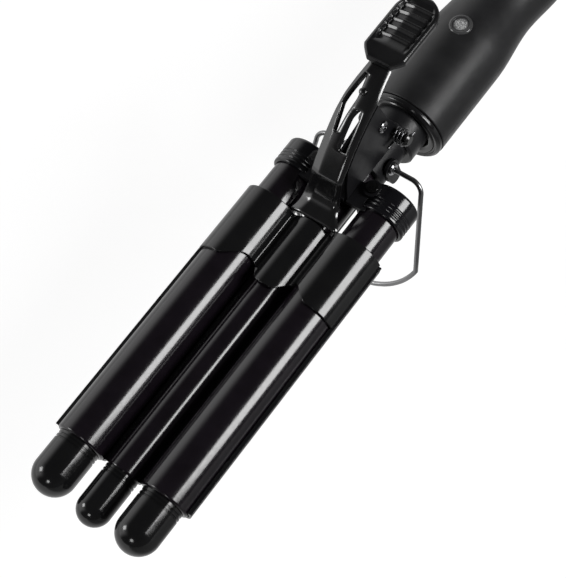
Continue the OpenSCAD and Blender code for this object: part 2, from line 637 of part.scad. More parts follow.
// One unbroken tube: a straight tail, the turns, and a second straight tail
SPRING_SIDES = 6;
SPRING_RINGS = 8;
WIRE_SIDES = 12;
tail_len = 7;
function coil_at(a) = [spring_x0 + spring_pitch * a / 360,
    spring_mean_r * cos(a - 90), spring_mean_r * sin(a - 90)];
coil_end_a = 360 * spring_turns;
coil_points = [for (i = [0:SPRING_RINGS * spring_turns]) coil_at(i * 360 / SPRING_RINGS)];
coil_path = concat(
    [coil_points[0] - [0, tail_len, 0], coil_points[0] - [0, spring_wire, 0]],
    coil_points,
    [coil_points[len(coil_points) - 1] + [0, spring_wire, 0],
        coil_points[len(coil_points) - 1] + [0, tail_len, 0]]);
function unit(v) = v / norm(v);
function path_dir(p, i) = unit(p[min(i + 1, len(p) - 1)] - p[max(i - 1, 0)]);
function ring_at(p, i, r, n, side) = let (d = path_dir(p, i), u = unit(cross(d, side)), v = cross(d, u))
    [for (k = [0:n - 1]) p[i] + r * (u * cos(360 * k / n) + v * sin(360 * k / n))];
// A round tube of n sides along the points p; side is a direction that the path never runs in
module swept(p, r, n, side) {
    m = len(p);
    points = [for (i = [0:m - 1]) each ring_at(p, i, r, n, side)];
    walls = [for (i = [0:m - 2], k = [0:n - 1]) each [
        [i * n + k, (i + 1) * n + k, i * n + (k + 1) % n],
        [i * n + (k + 1) % n, (i + 1) * n + k, (i + 1) * n + (k + 1) % n]]];
    ends = [for (k = [1:n - 2]) each [[0, k, k + 1], [(m - 1) * n, (m - 1) * n + k + 1, (m - 1) * n + k]]];
    polyhedron(points, concat(walls, ends));
}
// Least distance between stretches of the coil more than half a turn apart
coil_gap = min([for (i = [0:len(coil_points) - 1], j = [i + 5:1:len(coil_points) - 1])
    norm(coil_points[i] - coil_points[j])]) - spring_wire;
echo(spring_self_gap = coil_gap);
module hinge_spring() color("gray") placed() translate([0, hinge_y, hinge_z]) 
    swept(coil_path, spring_wire / 2, SPRING_SIDES, [1, 0, 0]);

// ---- Neck sleeve and handle ----
module neck_sleeve() color([0.08, 0.08, 0.085]) placed() difference() {
    union() {
        translate([0, sleeve_y, sleeve_z]) along_y() rotate_extrude($fn = FINE) polygon([
            [0, 0], [sleeve_r - 1, 0], [sleeve_r, 1], [sleeve_r, sleeve_out + 4], [0, sleeve_out + 4]]);
        y_cyl(mid_r + 3, bracket_rear_y + seat, sleeve_y + 1, 0, mid_z);
    }
    y_cyl(mid_r + seat, bracket_rear_y - 1, middle_rear_y + seat, 0, mid_z);
    y_cyl(mid_r - barrel_wall, bracket_rear_y - 1, handle_y + 9, 0, mid_z);
}

module handle_front_ring() color([0.1, 0.1, 0.1]) placed() difference() {
    translate([0, handle_y, axis_z]) along_y() rotate_extrude($fn = FINE) polygon([
        [0, 0], [handle_front_r - 1.2, 0], [handle_front_r - 0.3, 0.9],
        [handle_front_r - 0.3, front_ring_len - 0.6], [handle_front_r - 1, front_ring_len],
        [0, front_ring_len]]);
    y_cyl(sleeve_r + seat, handle_y - 1, handle_y + front_ring_len + 1, 0, sleeve_z);
}

// Radius of the handle along its length, eased between five stations
handle_stations = [
    [front_ring_len, handle_front_r], [button_pos, handle_belly_r], [button_pos + 31, handle_waist_r],
    [handle_len - 36, handle_heel_r], [handle_len - 6, handle_heel_r - 4]];
function station_at(d, i = 0) =
    i >= len(handle_stations) - 2 || d < handle_stations[i + 1][0] ? i : station_at(d, i + 1);
function handle_r_at(d) = let (i = station_at(d), a = handle_stations[i], b = handle_stations[i + 1])
    mix(a[1], b[1], smooth(min(1, max(0, (d - a[0]) / (b[0] - a[0])))));
HANDLE_STEPS = 36;
handle_d0 = front_ring_len;
handle_d1 = handle_len - 6;
handle_side = [for (i = [0:HANDLE_STEPS]) let (d = mix(handle_d0, handle_d1, i / HANDLE_STEPS))
    [handle_r_at(d), d]];
heel_r = handle_r_at(handle_d1);
heel_arc = [for (a = [15:15:90]) [heel_r - 6 + 6 * cos(a), handle_d1 + 6 * sin(a)]];

module handle_solid(inset = 0) translate([0, handle_y, axis_z]) along_y() rotate_extrude($fn = FINE)
    polygon(concat([[0, handle_d0 + inset]],
        [for (p = concat(handle_side, heel_arc))
            [max(0, p[0] - inset), min(max(p[1], handle_d0 + inset), handle_len - inset)]],
        [[0, handle_len - inset]]));

gland_r = gland_d / 2;
flange_r = gland_r + 2.2;
flange_t = 2.4;
bezel_y = handle_y + button_pos;
belly_z = axis_z + handle_belly_r;
board_z = axis_z + 10;
board_t = 1.6;
board_y0 = bezel_y - 16;
board_y1 = bezel_y + 26;
board_half_w = 8;
screw_y = [handle_y + 16, handle_y + handle_len - 26];

module shell() difference() {
    handle_solid();
    handle_solid(handle_wall);
    y_cyl(sleeve_r + seat, handle_y, handle_y + handle_wall + front_ring_len + 1, 0, sleeve_z);
    y_cyl(gland_r + gland_fit, handle_rear_y - 9, handle_rear_y + 1, 0, axis_z);
}
module handle_upper_shell() color([0.11, 0.11, 0.115]) placed() {
    difference() {
        shell();
        block(-99, 99, handle_y - 1, handle_rear_y + 1, axis_z - 99, axis_z);
        z_cyl(bezel_d / 2 - 1.2 + seat, axis_z, belly_z + 9, 0, bezel_y);
        z_cyl(bezel_d / 2 + seat, belly_z - 1.4, belly_z + 9, 0, bezel_y);
    }
    for (y = screw_y) difference() {
        z_cyl(3, axis_z, axis_z + handle_r_at(y) - handle_wall / 2, 0, y);
        z_cyl(1.25 + seat, axis_z - 1, axis_z + 9, 0, y);
    }
}
module handle_lower_shell() color([0.11, 0.11, 0.115]) placed() {
    difference() {
        shell();
        block(-99, 99, handle_y - 1, handle_rear_y + 1, axis_z - seat, axis_z + 99);
        for (y = screw_y) z_cyl(2.6 + seat, axis_z - 99, axis_z - 12, 0, y);
        for (y = screw_y) z_cyl(1.25 + seat, axis_z - 99, axis_z + 1, 0, y);
    }
    for (y = screw_y) difference() {
        z_cyl(3.8, axis_z - handle_r_at(y) + handle_wall / 2, axis_z - seat, 0, y);
        z_cyl(1.25 + seat, axis_z - 13, axis_z + 1, 0, y);
        z_cyl(2.6 + seat, axis_z - 99, axis_z - 12, 0, y);
    }
    // Four ribs carry the circuit board
    for (s = [-1, 1], y = [board_y0 + 2, board_y1 - 4])
        block(s > 0 ? board_half_w - 2 : -board_half_w, s > 0 ? board_half_w : -board_half_w + 2,
            y, y + 2, axis_z - handle_waist_r + handle_wall - 0.6, board_z - seat);
}
module handle_screws() color("silver") placed() for (y = screw_y) {
    z_cyl(1.25, axis_z - 13, axis_z + 8, 0, y);
    z_cyl(2.5, axis_z - 14.4, axis_z - 12 - seat, 0, y);
}

// ---- Button, light, board and leads ----
bezel_proud = 0.5;
module button_bezel() color([0.16, 0.16, 0.16]) placed() difference() {
    union() {
        z_cyl(bezel_d / 2, belly_z - 1.4 + seat, belly_z + bezel_proud, 0, bezel_y);
        z_cyl(bezel_d / 2 - 1.2, belly_z - 4, belly_z, 0, bezel_y);
    }
    z_cyl(button_d / 2 + 0.08, belly_z - 5, belly_z + 2, 0, bezel_y);
}
module power_button() color([0.6, 0.6, 0.6]) placed() {
    z_cyl(button_d / 2, belly_z - 2.2, belly_z + 0.2, 0, bezel_y);
    z_cyl(1.6, board_z + board_t + 2 + button_travel + 0.1, belly_z - 2, 0, bezel_y);
}
module pilot_light() color("white") placed() {
    y = bezel_y + bezel_d / 2 + 1;
    block(-1.2, 1.2, y, y + 2.4, board_z + board_t + seat, board_z + board_t + 1.8);
}
module circuit_board() color("green") placed() {
    block(-board_half_w, board_half_w, board_y0, board_y1, board_z, board_z + board_t);
    block(-3, 3, bezel_y - 3, bezel_y + 3, board_z + board_t, board_z + board_t + 2);
    block(-5, 5, board_y0, board_y0 + 8, board_z - 8, board_z);
}
lead_r = 0.9;
lead_x = 4.2;
module lead_wires() color("red") placed() for (s = [-1, 1])
    y_cyl(lead_r, heater_y1 + seat, board_y0 - seat, s * lead_x, board_z - 4);

// ---- Kickstand ----
bend_r = 6.5;
lug_reach = lug_out + 2.2;
// The loop lies in one plane: u runs down it from the pivot
function loop_point(p) = [p[0], kick_y - p[1] * cos(kick_angle), kick_z - p[1] * sin(kick_angle)];
loop_side = [0, sin(kick_angle), -cos(kick_angle)];
function kick_half(s) = concat(
    [[s * lug_reach, 0]],
    [for (a = [0:18:90]) [s * (kick_half_w - bend_r + bend_r * sin(a)), bend_r - bend_r * cos(a)]],
    [[s * kick_foot_half_w, kick_arm]]);
// The foot bows on an arc from one arm's end to the other's
kick_rise = kick_reach - kick_arm;
kick_foot_r = (kick_foot_half_w ^ 2 + kick_rise ^ 2) / (2 * kick_rise);
kick_foot_a = acos(kick_foot_half_w / kick_foot_r);
kick_foot = [for (i = [1:17]) let (a = kick_foot_a + i / 18 * (180 - 2 * kick_foot_a))
    [kick_foot_r * cos(a), kick_reach - kick_foot_r + kick_foot_r * sin(a)]];
kick_left = kick_half(-1);
kick_path = concat(kick_half(1), kick_foot, [for (i = [len(kick_left) - 1:-1:0]) kick_left[i]]);
module kickstand_wire() color([0.45, 0.45, 0.47]) placed() {
    swept([for (p = kick_path) loop_point(p)], wire_d / 2 - seat, WIRE_SIDES, loop_side);
    for (s = [-1, 1])
        x_cyl(wire_d / 2, s > 0 ? lug_in - 1 : -lug_reach - 0.4, s > 0 ? lug_reach + 0.4 : -lug_in + 1, kick_y, kick_z);
}

// ---- Cord gland ----
module swivel_gland() color([0.06, 0.06, 0.06]) placed() translate([0, handle_rear_y, axis_z]) along_y()
    rotate_extrude($fn = FINE) polygon([
        [cord_bore_d / 2, -handle_wall - flange_t - 2], [gland_r, -handle_wall - flange_t - 2],
        [gland_r, -handle_wall - flange_t - 0.1], [flange_r, -handle_wall - flange_t - 0.1],
        [flange_r, -handle_wall - 0.1], [gland_r, -handle_wall - 0.1], [gland_r, 2],
        [gland_r - 1.5, gland_out], [cord_bore_d / 2, gland_out]]);
module gland_retainer() color("dimgray") placed() difference() {
    y_cyl(flange_r + 2, handle_rear_y - handle_wall - flange_t - 0.2 - 2, handle_rear_y - handle_wall - flange_t - 0.2,
        0, axis_z);
    y_cyl(gland_r + gland_fit, handle_rear_y - 20, handle_rear_y, 0, axis_z);
}

handle_upper_shell();
handle_lower_shell();
handle_front_ring();
handle_screws();
neck_sleeve();
bracket();
hinge_pin();
hinge_spring();
kickstand_eyelets();
middle_barrel();
middle_cap();
middle_heater();
wing_tray();
tray_rivets();
circuit_board();
lead_wires();
button_bezel();
pilot_light();
gland_retainer();
lever();
lever_rib();
lever_rivet();
thumb_pad();
yoke();
hinge_plate();
hinge_plate_screw();
left_collar();
right_collar();
left_barrel();
right_barrel();
left_cap();
right_cap();
left_heater();
right_heater();
saddle();
saddle_rivets();
collar_screws();
kickstand_wire();
power_button();
swivel_gland();
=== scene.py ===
"""Looks of the three-barrel hair waver: materials, finer forms, studio light and camera."""
import json
import math

import bmesh
import bpy
from mathutils import Matrix, Vector


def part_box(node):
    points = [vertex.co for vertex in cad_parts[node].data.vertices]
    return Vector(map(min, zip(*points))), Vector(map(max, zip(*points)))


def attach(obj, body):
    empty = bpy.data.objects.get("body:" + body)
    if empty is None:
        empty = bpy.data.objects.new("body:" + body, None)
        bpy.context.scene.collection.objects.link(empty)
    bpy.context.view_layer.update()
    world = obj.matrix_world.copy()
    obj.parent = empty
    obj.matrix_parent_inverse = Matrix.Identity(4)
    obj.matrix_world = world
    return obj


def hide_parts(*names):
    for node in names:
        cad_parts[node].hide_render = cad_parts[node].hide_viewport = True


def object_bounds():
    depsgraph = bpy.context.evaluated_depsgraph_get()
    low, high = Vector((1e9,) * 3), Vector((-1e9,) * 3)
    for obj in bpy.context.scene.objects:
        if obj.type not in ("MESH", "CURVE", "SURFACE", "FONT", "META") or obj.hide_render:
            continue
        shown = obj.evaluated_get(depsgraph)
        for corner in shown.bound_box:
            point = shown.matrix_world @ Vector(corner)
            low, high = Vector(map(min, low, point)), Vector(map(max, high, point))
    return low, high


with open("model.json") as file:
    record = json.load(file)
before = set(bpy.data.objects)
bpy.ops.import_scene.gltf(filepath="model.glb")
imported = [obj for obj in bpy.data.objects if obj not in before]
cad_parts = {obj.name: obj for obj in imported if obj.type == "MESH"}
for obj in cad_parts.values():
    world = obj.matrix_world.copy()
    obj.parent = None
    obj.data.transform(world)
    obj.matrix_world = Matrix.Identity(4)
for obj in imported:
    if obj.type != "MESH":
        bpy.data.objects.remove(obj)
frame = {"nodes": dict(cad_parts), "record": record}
CAD_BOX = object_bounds()
MM = 0.001


# ---------- material helpers ----------
def new_mat(name):
    """A new material, its node tree and its Principled shader."""
    mat = bpy.data.materials.new(name)
    mat.use_nodes = True
    return mat, mat.node_tree, mat.node_tree.nodes["Principled BSDF"]


def add(nt, kind, **values):
    """A new node with some of its properties set."""
    node = nt.nodes.new(kind)
    for key, value in values.items():
        setattr(node, key, value)
    return node


def put(node, **values):
    """Sets input sockets by name, with _ for a space."""
    for key, value in values.items():
        node.inputs[key.replace("_", " ")].default_value = value


def noise(nt, scale, detail=4.0, rough=0.55):
    """Noise through the object's own space."""
    place = add(nt, "ShaderNodeTexCoord")
    texture = add(nt, "ShaderNodeTexNoise")
    put(texture, Scale=scale, Detail=detail, Roughness=rough)
    nt.links.new(place.outputs["Object"], texture.inputs["Vector"])
    return texture.outputs["Fac"]


def spread(nt, value, low, high, start=0.3, end=0.7):
    """An even change from low to high while value goes from start to end."""
    node = add(nt, "ShaderNodeMapRange")
    put(node, From_Min=start, From_Max=end, To_Min=low, To_Max=high)
    nt.links.new(value, node.inputs["Value"])
    return node.outputs["Result"]


def ramp(nt, value, start, end, low, high):
    """A smooth change from low to high while value goes from start to end."""
    node = add(nt, "ShaderNodeMapRange", interpolation_type="SMOOTHSTEP")
    put(node, From_Min=start, From_Max=end, To_Min=low, To_Max=high)
    nt.links.new(value, node.inputs["Value"])
    return node.outputs["Result"]


def blend_colours(nt, fac, a, b):
    """Colour a where fac is 0 and b where it is 1. The mix node's colour sockets go by number."""
    node = add(nt, "ShaderNodeMix", data_type="RGBA")
    node.inputs[6].default_value = (*a, 1)
    node.inputs[7].default_value = (*b, 1)
    nt.links.new(fac, node.inputs[0])
    return node.outputs[2]


RELIEF_STRENGTH = 0.6
BEVEL_SAMPLES = 6


def surface(name, dark, light, rough, metallic=0.0, ior=1.5, tone_scale=60, detail=4.0, rough_scale=140,
            grain=900, grain_height=0.02, round_edges=0.0):
    """A slightly uneven surface: two tones, changing roughness, fine relief, and eased edges if asked.

    grain_height and round_edges are in millimetres, and the scales are those of noise textures.
    """
    mat, nt, shader = new_mat(name)
    put(shader, Metallic=metallic, IOR=ior)
    tone = spread(nt, noise(nt, tone_scale, detail), 0, 1)
    nt.links.new(blend_colours(nt, tone, dark, light), shader.inputs["Base Color"])
    nt.links.new(spread(nt, noise(nt, rough_scale, 5.0), *rough), shader.inputs["Roughness"])
    bump = add(nt, "ShaderNodeBump")
    put(bump, Strength=RELIEF_STRENGTH, Distance=grain_height * MM)
    nt.links.new(noise(nt, grain, 3.0, 0.6), bump.inputs["Height"])
    if round_edges:
        bevel = add(nt, "ShaderNodeBevel", samples=BEVEL_SAMPLES)
        put(bevel, Radius=round_edges * MM)
        nt.links.new(bevel.outputs["Normal"], bump.inputs["Normal"])
    nt.links.new(bump.outputs["Normal"], shader.inputs["Normal"])
    return mat


DOT_JITTER = 0.35
DOT_EDGE = (0.32, 0.52)
DOT_HEIGHT = 0.08


def dotted(name, scale, ground, dot, rough, grain=900):
    """Small moulded dots, paler than the ground between them."""
    mat, nt, shader = new_mat(name)
    place = add(nt, "ShaderNodeTexCoord")
    cells = add(nt, "ShaderNodeTexVoronoi")
    put(cells, Scale=scale, Randomness=DOT_JITTER)
    nt.links.new(place.outputs["Object"], cells.inputs["Vector"])
    height = spread(nt, cells.outputs["Distance"], 1, 0, *DOT_EDGE)
    nt.links.new(blend_colours(nt, height, ground, dot), shader.inputs["Base Color"])
    nt.links.new(spread(nt, noise(nt, grain), *rough), shader.inputs["Roughness"])
    bump = add(nt, "ShaderNodeBump")
    put(bump, Strength=RELIEF_STRENGTH, Distance=DOT_HEIGHT * MM)
    nt.links.new(height, bump.inputs["Height"])
    nt.links.new(bump.outputs["Normal"], shader.inputs["Normal"])
    return mat


# Each slot's material: dark tone, light tone and range of roughness, then what differs from a plain plastic
METAL = 1.0
MATS = {
    "matte_grip": surface(
        "soft_grip", (0.0105, 0.0105, 0.011), (0.0165, 0.0165, 0.0175), (0.34, 0.44),
        ior=1.38, tone_scale=35, grain=1400, grain_height=0.03),
    "front_ring": surface(
        "ring_gloss", (0.006, 0.006, 0.0065), (0.010, 0.010, 0.0105), (0.12, 0.20), grain_height=0.01),
    "screw_steel": surface(
        "screw_black", (0.055, 0.055, 0.055), (0.095, 0.095, 0.095), (0.22, 0.34), METAL,
        grain=1500, round_edges=0.2),
    "sleeve_plastic": surface(
        "sleeve_satin", (0.007, 0.007, 0.008), (0.012, 0.012, 0.013), (0.28, 0.38), ior=1.38),
    "bracket_steel": surface(
        "bracket_satin", (0.007, 0.007, 0.008), (0.012, 0.012, 0.013), (0.28, 0.38),
        ior=1.2, grain=1100, grain_height=0.03, round_edges=0.25),
    "bright_steel": surface(
        "plated_steel", (0.28, 0.28, 0.29), (0.42, 0.42, 0.43), (0.10, 0.24), METAL,
        grain=700, grain_height=0.01, round_edges=0.2),
    "spring_steel": surface(
        "spring_wire", (0.11, 0.11, 0.115), (0.19, 0.19, 0.195), (0.16, 0.30), METAL, grain=2400),
    "barrel_ceramic": surface(
        "ceramic_coat", (0.0052, 0.0037, 0.0055), (0.0080, 0.0058, 0.0086), (0.13, 0.19),
        ior=1.52, tone_scale=120, detail=8.0, rough_scale=600, grain=2600, grain_height=0.012),
    "cap_plastic": surface(
        "cap_gloss", (0.0050, 0.0050, 0.0054), (0.0074, 0.0074, 0.0078), (0.10, 0.16),
        grain=500, grain_height=0.006),
    "heater": surface("heater_aluminium", (0.45, 0.45, 0.46), (0.62, 0.62, 0.63), (0.3, 0.45), METAL),
    "tray_coat": surface(
        "tray_satin", (0.007, 0.007, 0.008), (0.012, 0.012, 0.013), (0.24, 0.34),
        grain=1600, round_edges=0.3),
    "board": surface("board_green", (0.01, 0.07, 0.03), (0.02, 0.12, 0.05), (0.35, 0.5)),
    "lead": surface("lead_red", (0.30, 0.02, 0.02), (0.40, 0.03, 0.03), (0.4, 0.5)),
    "bezel": surface("bezel_ring", (0.042, 0.042, 0.043), (0.065, 0.065, 0.066), (0.14, 0.24)),
    "button_face": dotted("button_dotted", 1850, (0.13, 0.13, 0.13), (0.90, 0.91, 0.91), (0.35, 0.5)),
    "light_lens": surface("lens_clear", (0.6, 0.6, 0.6), (0.7, 0.7, 0.7), (0.05, 0.1)),
    "retainer": surface("retainer_moulded", (0.02, 0.02, 0.02), (0.03, 0.03, 0.03), (0.4, 0.5)),
    "lever_gloss": surface(
        "lever_gloss_black", (0.0050, 0.0050, 0.0054), (0.0076, 0.0076, 0.0080), (0.12, 0.20),
        ior=1.8, grain=450, grain_height=0.012, round_edges=0.5),
    "pad_plastic": surface(
        "pad_semi_gloss", (0.0065, 0.0065, 0.0070), (0.0105, 0.0105, 0.0110), (0.16, 0.24),
        grain=1300, round_edges=0.15),
    "yoke_steel": surface(
        "yoke_satin", (0.008, 0.008, 0.009), (0.013, 0.013, 0.014), (0.26, 0.36),
        ior=1.22, grain=1100, grain_height=0.03, round_edges=0.3),
    "collar_plastic": surface(
        "collar_satin", (0.0045, 0.0045, 0.0058), (0.0075, 0.0075, 0.0090), (0.10, 0.17),
        grain=1500, round_edges=0.3),
    "saddle_coat": surface(
        "saddle_gloss", (0.0052, 0.0052, 0.0056), (0.0076, 0.0076, 0.0080), (0.10, 0.18),
        grain=350, grain_height=0.012, round_edges=0.5),
    "wire_steel": surface(
        "stand_wire", (0.19, 0.19, 0.193), (0.28, 0.28, 0.283), (0.26, 0.38), METAL,
        grain=1800, grain_height=0.03),
    "gland_rubber": surface("gland_moulded", (0.014, 0.014, 0.014), (0.022, 0.022, 0.022), (0.45, 0.6)),
}

slot_of = {row["node"]: row["material_slot"] for row in frame["record"]["subparts"]}
for node_name, node_object in frame["nodes"].items():
    node_object.data.materials.clear()
    node_object.data.materials.append(MATS[slot_of[node_name]])


# ---------- places and sizes in millimetres ----------
# X from the middle, Y from the handle's front face, Z from the outer barrels' axes
BARREL_AXIS = sum(corner.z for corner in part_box("left_barrel")) / 2
ORIGIN = Vector((0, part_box("handle_front_ring")[0].y, BARREL_AXIS))


def ends(node):
    """A CAD node's lowest and highest corners."""
    lo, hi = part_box(node)
    return (lo - ORIGIN) / MM, (hi - ORIGIN) / MM


def at(x, y, z):
    """A place in metres, in the frame."""
    return ORIGIN + Vector((x, y, z)) * MM


SIDES = ((-1, "left"), (1, "right"))
BARREL_LO, BARREL_HI = ends("right_barrel")
BARREL_R = (BARREL_HI.x - BARREL_LO.x) / 2
PITCH = (BARREL_HI.x + BARREL_LO.x) / 2
BARREL_WALL = 1.2
CORE_R = 11.0
CAP_R = 10.8
SEAM = BARREL_LO.y
MID_LO, MID_HI = ends("middle_barrel")
MID_R = (MID_HI.x - MID_LO.x) / 2
MID_Z = (MID_HI.z + MID_LO.z) / 2
COLLAR_LO, COLLAR_HI = ends("right_collar")
COLLAR_R = (COLLAR_HI.x - COLLAR_LO.x) / 2
SADDLE_LO, SADDLE_HI = ends("saddle")
SADDLE_R = SADDLE_HI.x - PITCH
SADDLE_MID_R = MID_R + 2.9
HANDLE_Z = -BARREL_AXIS / MM
HANDLE_LEN = ends("handle_upper_shell")[1].y
RING_LEN = ends("handle_front_ring")[1].y
PIN_LO, PIN_HI = ends("hinge_pin")
HINGE_Y = (PIN_LO.y + PIN_HI.y) / 2
HINGE_Z = (PIN_LO.z + PIN_HI.z) / 2


# ---------- mesh helpers ----------
def piece(name, verts, faces, body, slot_name, *nodes, smooth_angle=35, flat_normals=True):
    """A mesh piece with smooth shading up to an angle, riding on a body in place of CAD nodes."""
    mesh = bpy.data.meshes.new(name)
    mesh.from_pydata([tuple(v) for v in verts], [], faces)
    bm = bmesh.new()
    bm.from_mesh(mesh)
    bmesh.ops.remove_doubles(bm, verts=bm.verts, dist=1e-6)
    bmesh.ops.dissolve_degenerate(bm, edges=bm.edges, dist=1e-7)
    bmesh.ops.recalc_face_normals(bm, faces=bm.faces)
    bm.to_mesh(mesh)
    bm.free()
    mesh.shade_smooth()
    mesh.set_sharp_from_angle(angle=math.radians(smooth_angle))
    obj = bpy.data.objects.new(name, mesh)
    bpy.context.scene.collection.objects.link(obj)
    mesh.materials.append(MATS[slot_name])
    if flat_normals:
        normals = obj.modifiers.new("normals", "WEIGHTED_NORMAL")
        normals.keep_sharp = True
        normals.weight = 100
    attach(obj, body)
    if nodes:
        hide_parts(*nodes)
    return obj


def grid_faces(rows, cols, wrap_rows=False, wrap_cols=False, skip=lambda r, c: False):
    """Four-sided faces between rows of points, apart from those that skip(row, column) leaves out."""
    faces = []
    for r in range(rows if wrap_rows else rows - 1):
        for c in range(cols if wrap_cols else cols - 1):
            if skip(r, c):
                continue
            r2, c2 = (r + 1) % rows, (c + 1) % cols
            faces.append((r * cols + c, r2 * cols + c, r2 * cols + c2, r * cols + c2))
    return faces


def end_faces(rows, cols):
    """The two flat faces that close a stack of rings."""
    return [tuple(range(cols)), tuple((rows - 1) * cols + k for k in range(cols))]


def eased(points, radius, steps=4, closed=False):
    """Rounds the corners of a line of 2-D points with short curves."""
    out = []
    n = len(points)
    for i, p in enumerate(points):
        if not closed and i in (0, n - 1):
            out.append(tuple(p))
            continue
        p = Vector(p)
        before, after = Vector(points[i - 1]) - p, Vector(points[(i + 1) % n]) - p
        r = min(radius, 0.45 * before.length, 0.45 * after.length)
        if r < 1e-4 or before.normalized().dot(after.normalized()) < -0.995:
            out.append(tuple(p))
            continue
        a, b = p + before.normalized() * r, p + after.normalized() * r
        for k in range(steps + 1):
            t = k / steps
            out.append(tuple((1 - t) ** 2 * a + 2 * t * (1 - t) * p + t * t * b))
    return out


def lathe(name, profile, x, z, body, slot_name, *nodes, turn=(0, 360), sides=160, smooth_angle=35):
    """Turns (radius, y) points round an axis along Y. A part turn is closed by its own flat ends."""
    full = turn[1] - turn[0] == 360
    rings = sides if full else sides + 1
    verts = []
    for i in range(rings):
        a = math.radians(turn[0] + (turn[1] - turn[0]) * i / sides)
        verts += [at(x + r * math.cos(a), y, z + r * math.sin(a)) for r, y in profile]
    faces = grid_faces(rings, len(profile), wrap_rows=full, wrap_cols=True)
    if not full:
        faces += end_faces(rings, len(profile))
    return piece(name, verts, faces, body, slot_name, *nodes, smooth_angle=smooth_angle)


def turned(name, profile, centre, axis, body, slot_name, *nodes, sides=64, cross=None):
    """Turns (radius, height) points round any axis.

    cross = (half width, half length, depth) sinks a cross recess into what stands above height 0.
    """
    z = Vector(axis).normalized()
    x = z.orthogonal().normalized()
    y = z.cross(x)
    base = at(*centre)
    verts = []
    for i in range(sides):
        a = 2 * math.pi * i / sides
        for r, h in profile:
            u, v = r * math.cos(a), r * math.sin(a)
            if cross and h > 0:
                half_width, half_length, depth = cross
                if min(abs(u), abs(v)) < half_width and max(abs(u), abs(v)) < half_length:
                    h -= depth
            verts.append(base + (x * u + y * v + z * h) * MM)
    return piece(name, verts, grid_faces(sides, len(profile), wrap_rows=True), body, slot_name, *nodes)


def tube(name, points, radius, body, slot_name, *nodes):
    """A round wire along points in metres, with closed ends."""
    curve = bpy.data.curves.new(name, "CURVE")
    curve.dimensions = "3D"
    curve.bevel_depth = radius * MM
    curve.bevel_resolution = 8
    curve.use_fill_caps = True
    spline = curve.splines.new("POLY")
    spline.points.add(len(points) - 1)
    for p, q in zip(spline.points, points):
        p.co = (*q, 1)
    spline.use_smooth = True
    curve.materials.append(MATS[slot_name])
    obj = bpy.data.objects.new(name, curve)
    bpy.context.scene.collection.objects.link(obj)
    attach(obj, body)
    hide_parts(*nodes)


def circle(x, y, r, start, end, step):
    """Points on an arc, between two angles in whole degrees."""
    angles = [math.radians(a) for a in range(start, end, step)]
    return [(x + r * math.cos(a), y + r * math.sin(a)) for a in angles]


def quarter(r0, r1, y0, y1, steps=8):
    """A quarter round from (r0, y0) to (r1, y1) that leaves r0 square to the axis."""
    angles = [math.pi / 2 * k / steps for k in range(steps + 1)]
    return [(r0 + (r1 - r0) * math.sin(a), y0 + (y1 - y0) * (1 - math.cos(a))) for a in angles]


def mix(a, b, t):
    return a + (b - a) * t


def ease(t):
    """From 0 to 1, level at both ends."""
    t = min(1, max(0, t))
    return t * t * (3 - 2 * t)


# ---------- barrels and caps ----------
MOUTH = 1.3
MOUTH_GAP = 0.35
CAP_GAP = 0.03
STEP = SADDLE_HI.y - 1
BORE_R = BARREL_R - BARREL_WALL
CORE_BORE_R = CORE_R - BARREL_WALL

# An outer barrel: rounded mouth, full tube to the step under the saddle, then a thinner core to its rear
tube_line = [
    (BARREL_R, SEAM + MOUTH), (BARREL_R, STEP), (CORE_R, STEP), (CORE_R, BARREL_HI.y),
    (CORE_BORE_R, BARREL_HI.y), (CORE_BORE_R, STEP - 2), (BORE_R, STEP - 2), (BORE_R, SEAM + 5),
    (CAP_R + CAP_GAP, SEAM + 3), (CAP_R + CAP_GAP, SEAM + 0.2)]
tube_line = quarter(CAP_R + MOUTH_GAP, BARREL_R, SEAM, SEAM + MOUTH, 12) + eased(tube_line, 0.3)[1:]
for side, name in SIDES:
    lathe(name + "_tube", tube_line, side * PITCH, 0, "clamp", "barrel_ceramic", name + "_barrel", sides=192)

MID_BORE_R = MID_R - BARREL_WALL
MID_MOUTH, MID_MOUTH_ROUND = 1.2, 0.5
middle_line = quarter(MID_R - MID_MOUTH_ROUND, MID_R, SEAM, SEAM + MID_MOUTH, 6)
middle_line += [(MID_R, MID_HI.y), (MID_BORE_R, MID_HI.y), (MID_BORE_R, SEAM)]
lathe("middle_tube", middle_line, 0, MID_Z, "handle", "barrel_ceramic", "middle_barrel", sides=160)

# The grooves round a cap: their distances in front of the barrel's mouth, and one groove's (depth, y) line
GROOVES = (4.2, 2.4)
GROOVE_LINE = [(0, 0), (0.12, 0.08), (0.38, 0.3), (0.38, 0.7), (0.12, 0.92), (0, 1)]
FLANGE_Y = SEAM + MOUTH + 1.2
CAP_REAR = SEAM + 10


def cap(name, r, neck, flange, x, z, body, node):
    """A round-nosed cap, grooved in front of the mouth, with a neck and a wider flange inside the barrel."""
    tip = ends(node)[0].y
    angles = [math.radians(a) for a in range(0, 91, 3)]
    line = [(r * math.sin(a), tip + r * (1 - math.cos(a))) for a in angles]
    for distance in GROOVES:
        line += [(r - depth, SEAM - distance + y) for depth, y in GROOVE_LINE]
    line += [(r, SEAM - 0.15), (neck, SEAM + 0.1), (neck, FLANGE_Y), (flange, FLANGE_Y), (flange, CAP_REAR),
             (0, CAP_REAR)]
    lathe(name, line, x, z, body, "cap_plastic", node, sides=144)


FLANGE_GAP = 0.05
for side, name in SIDES:
    cap(name + "_tip", CAP_R, CAP_R, BORE_R - FLANGE_GAP, side * PITCH, 0, "clamp", name + "_cap")
mid_neck = MID_BORE_R - FLANGE_GAP
cap("middle_tip", MID_R, mid_neck, mid_neck, 0, MID_Z, "handle", "middle_cap")

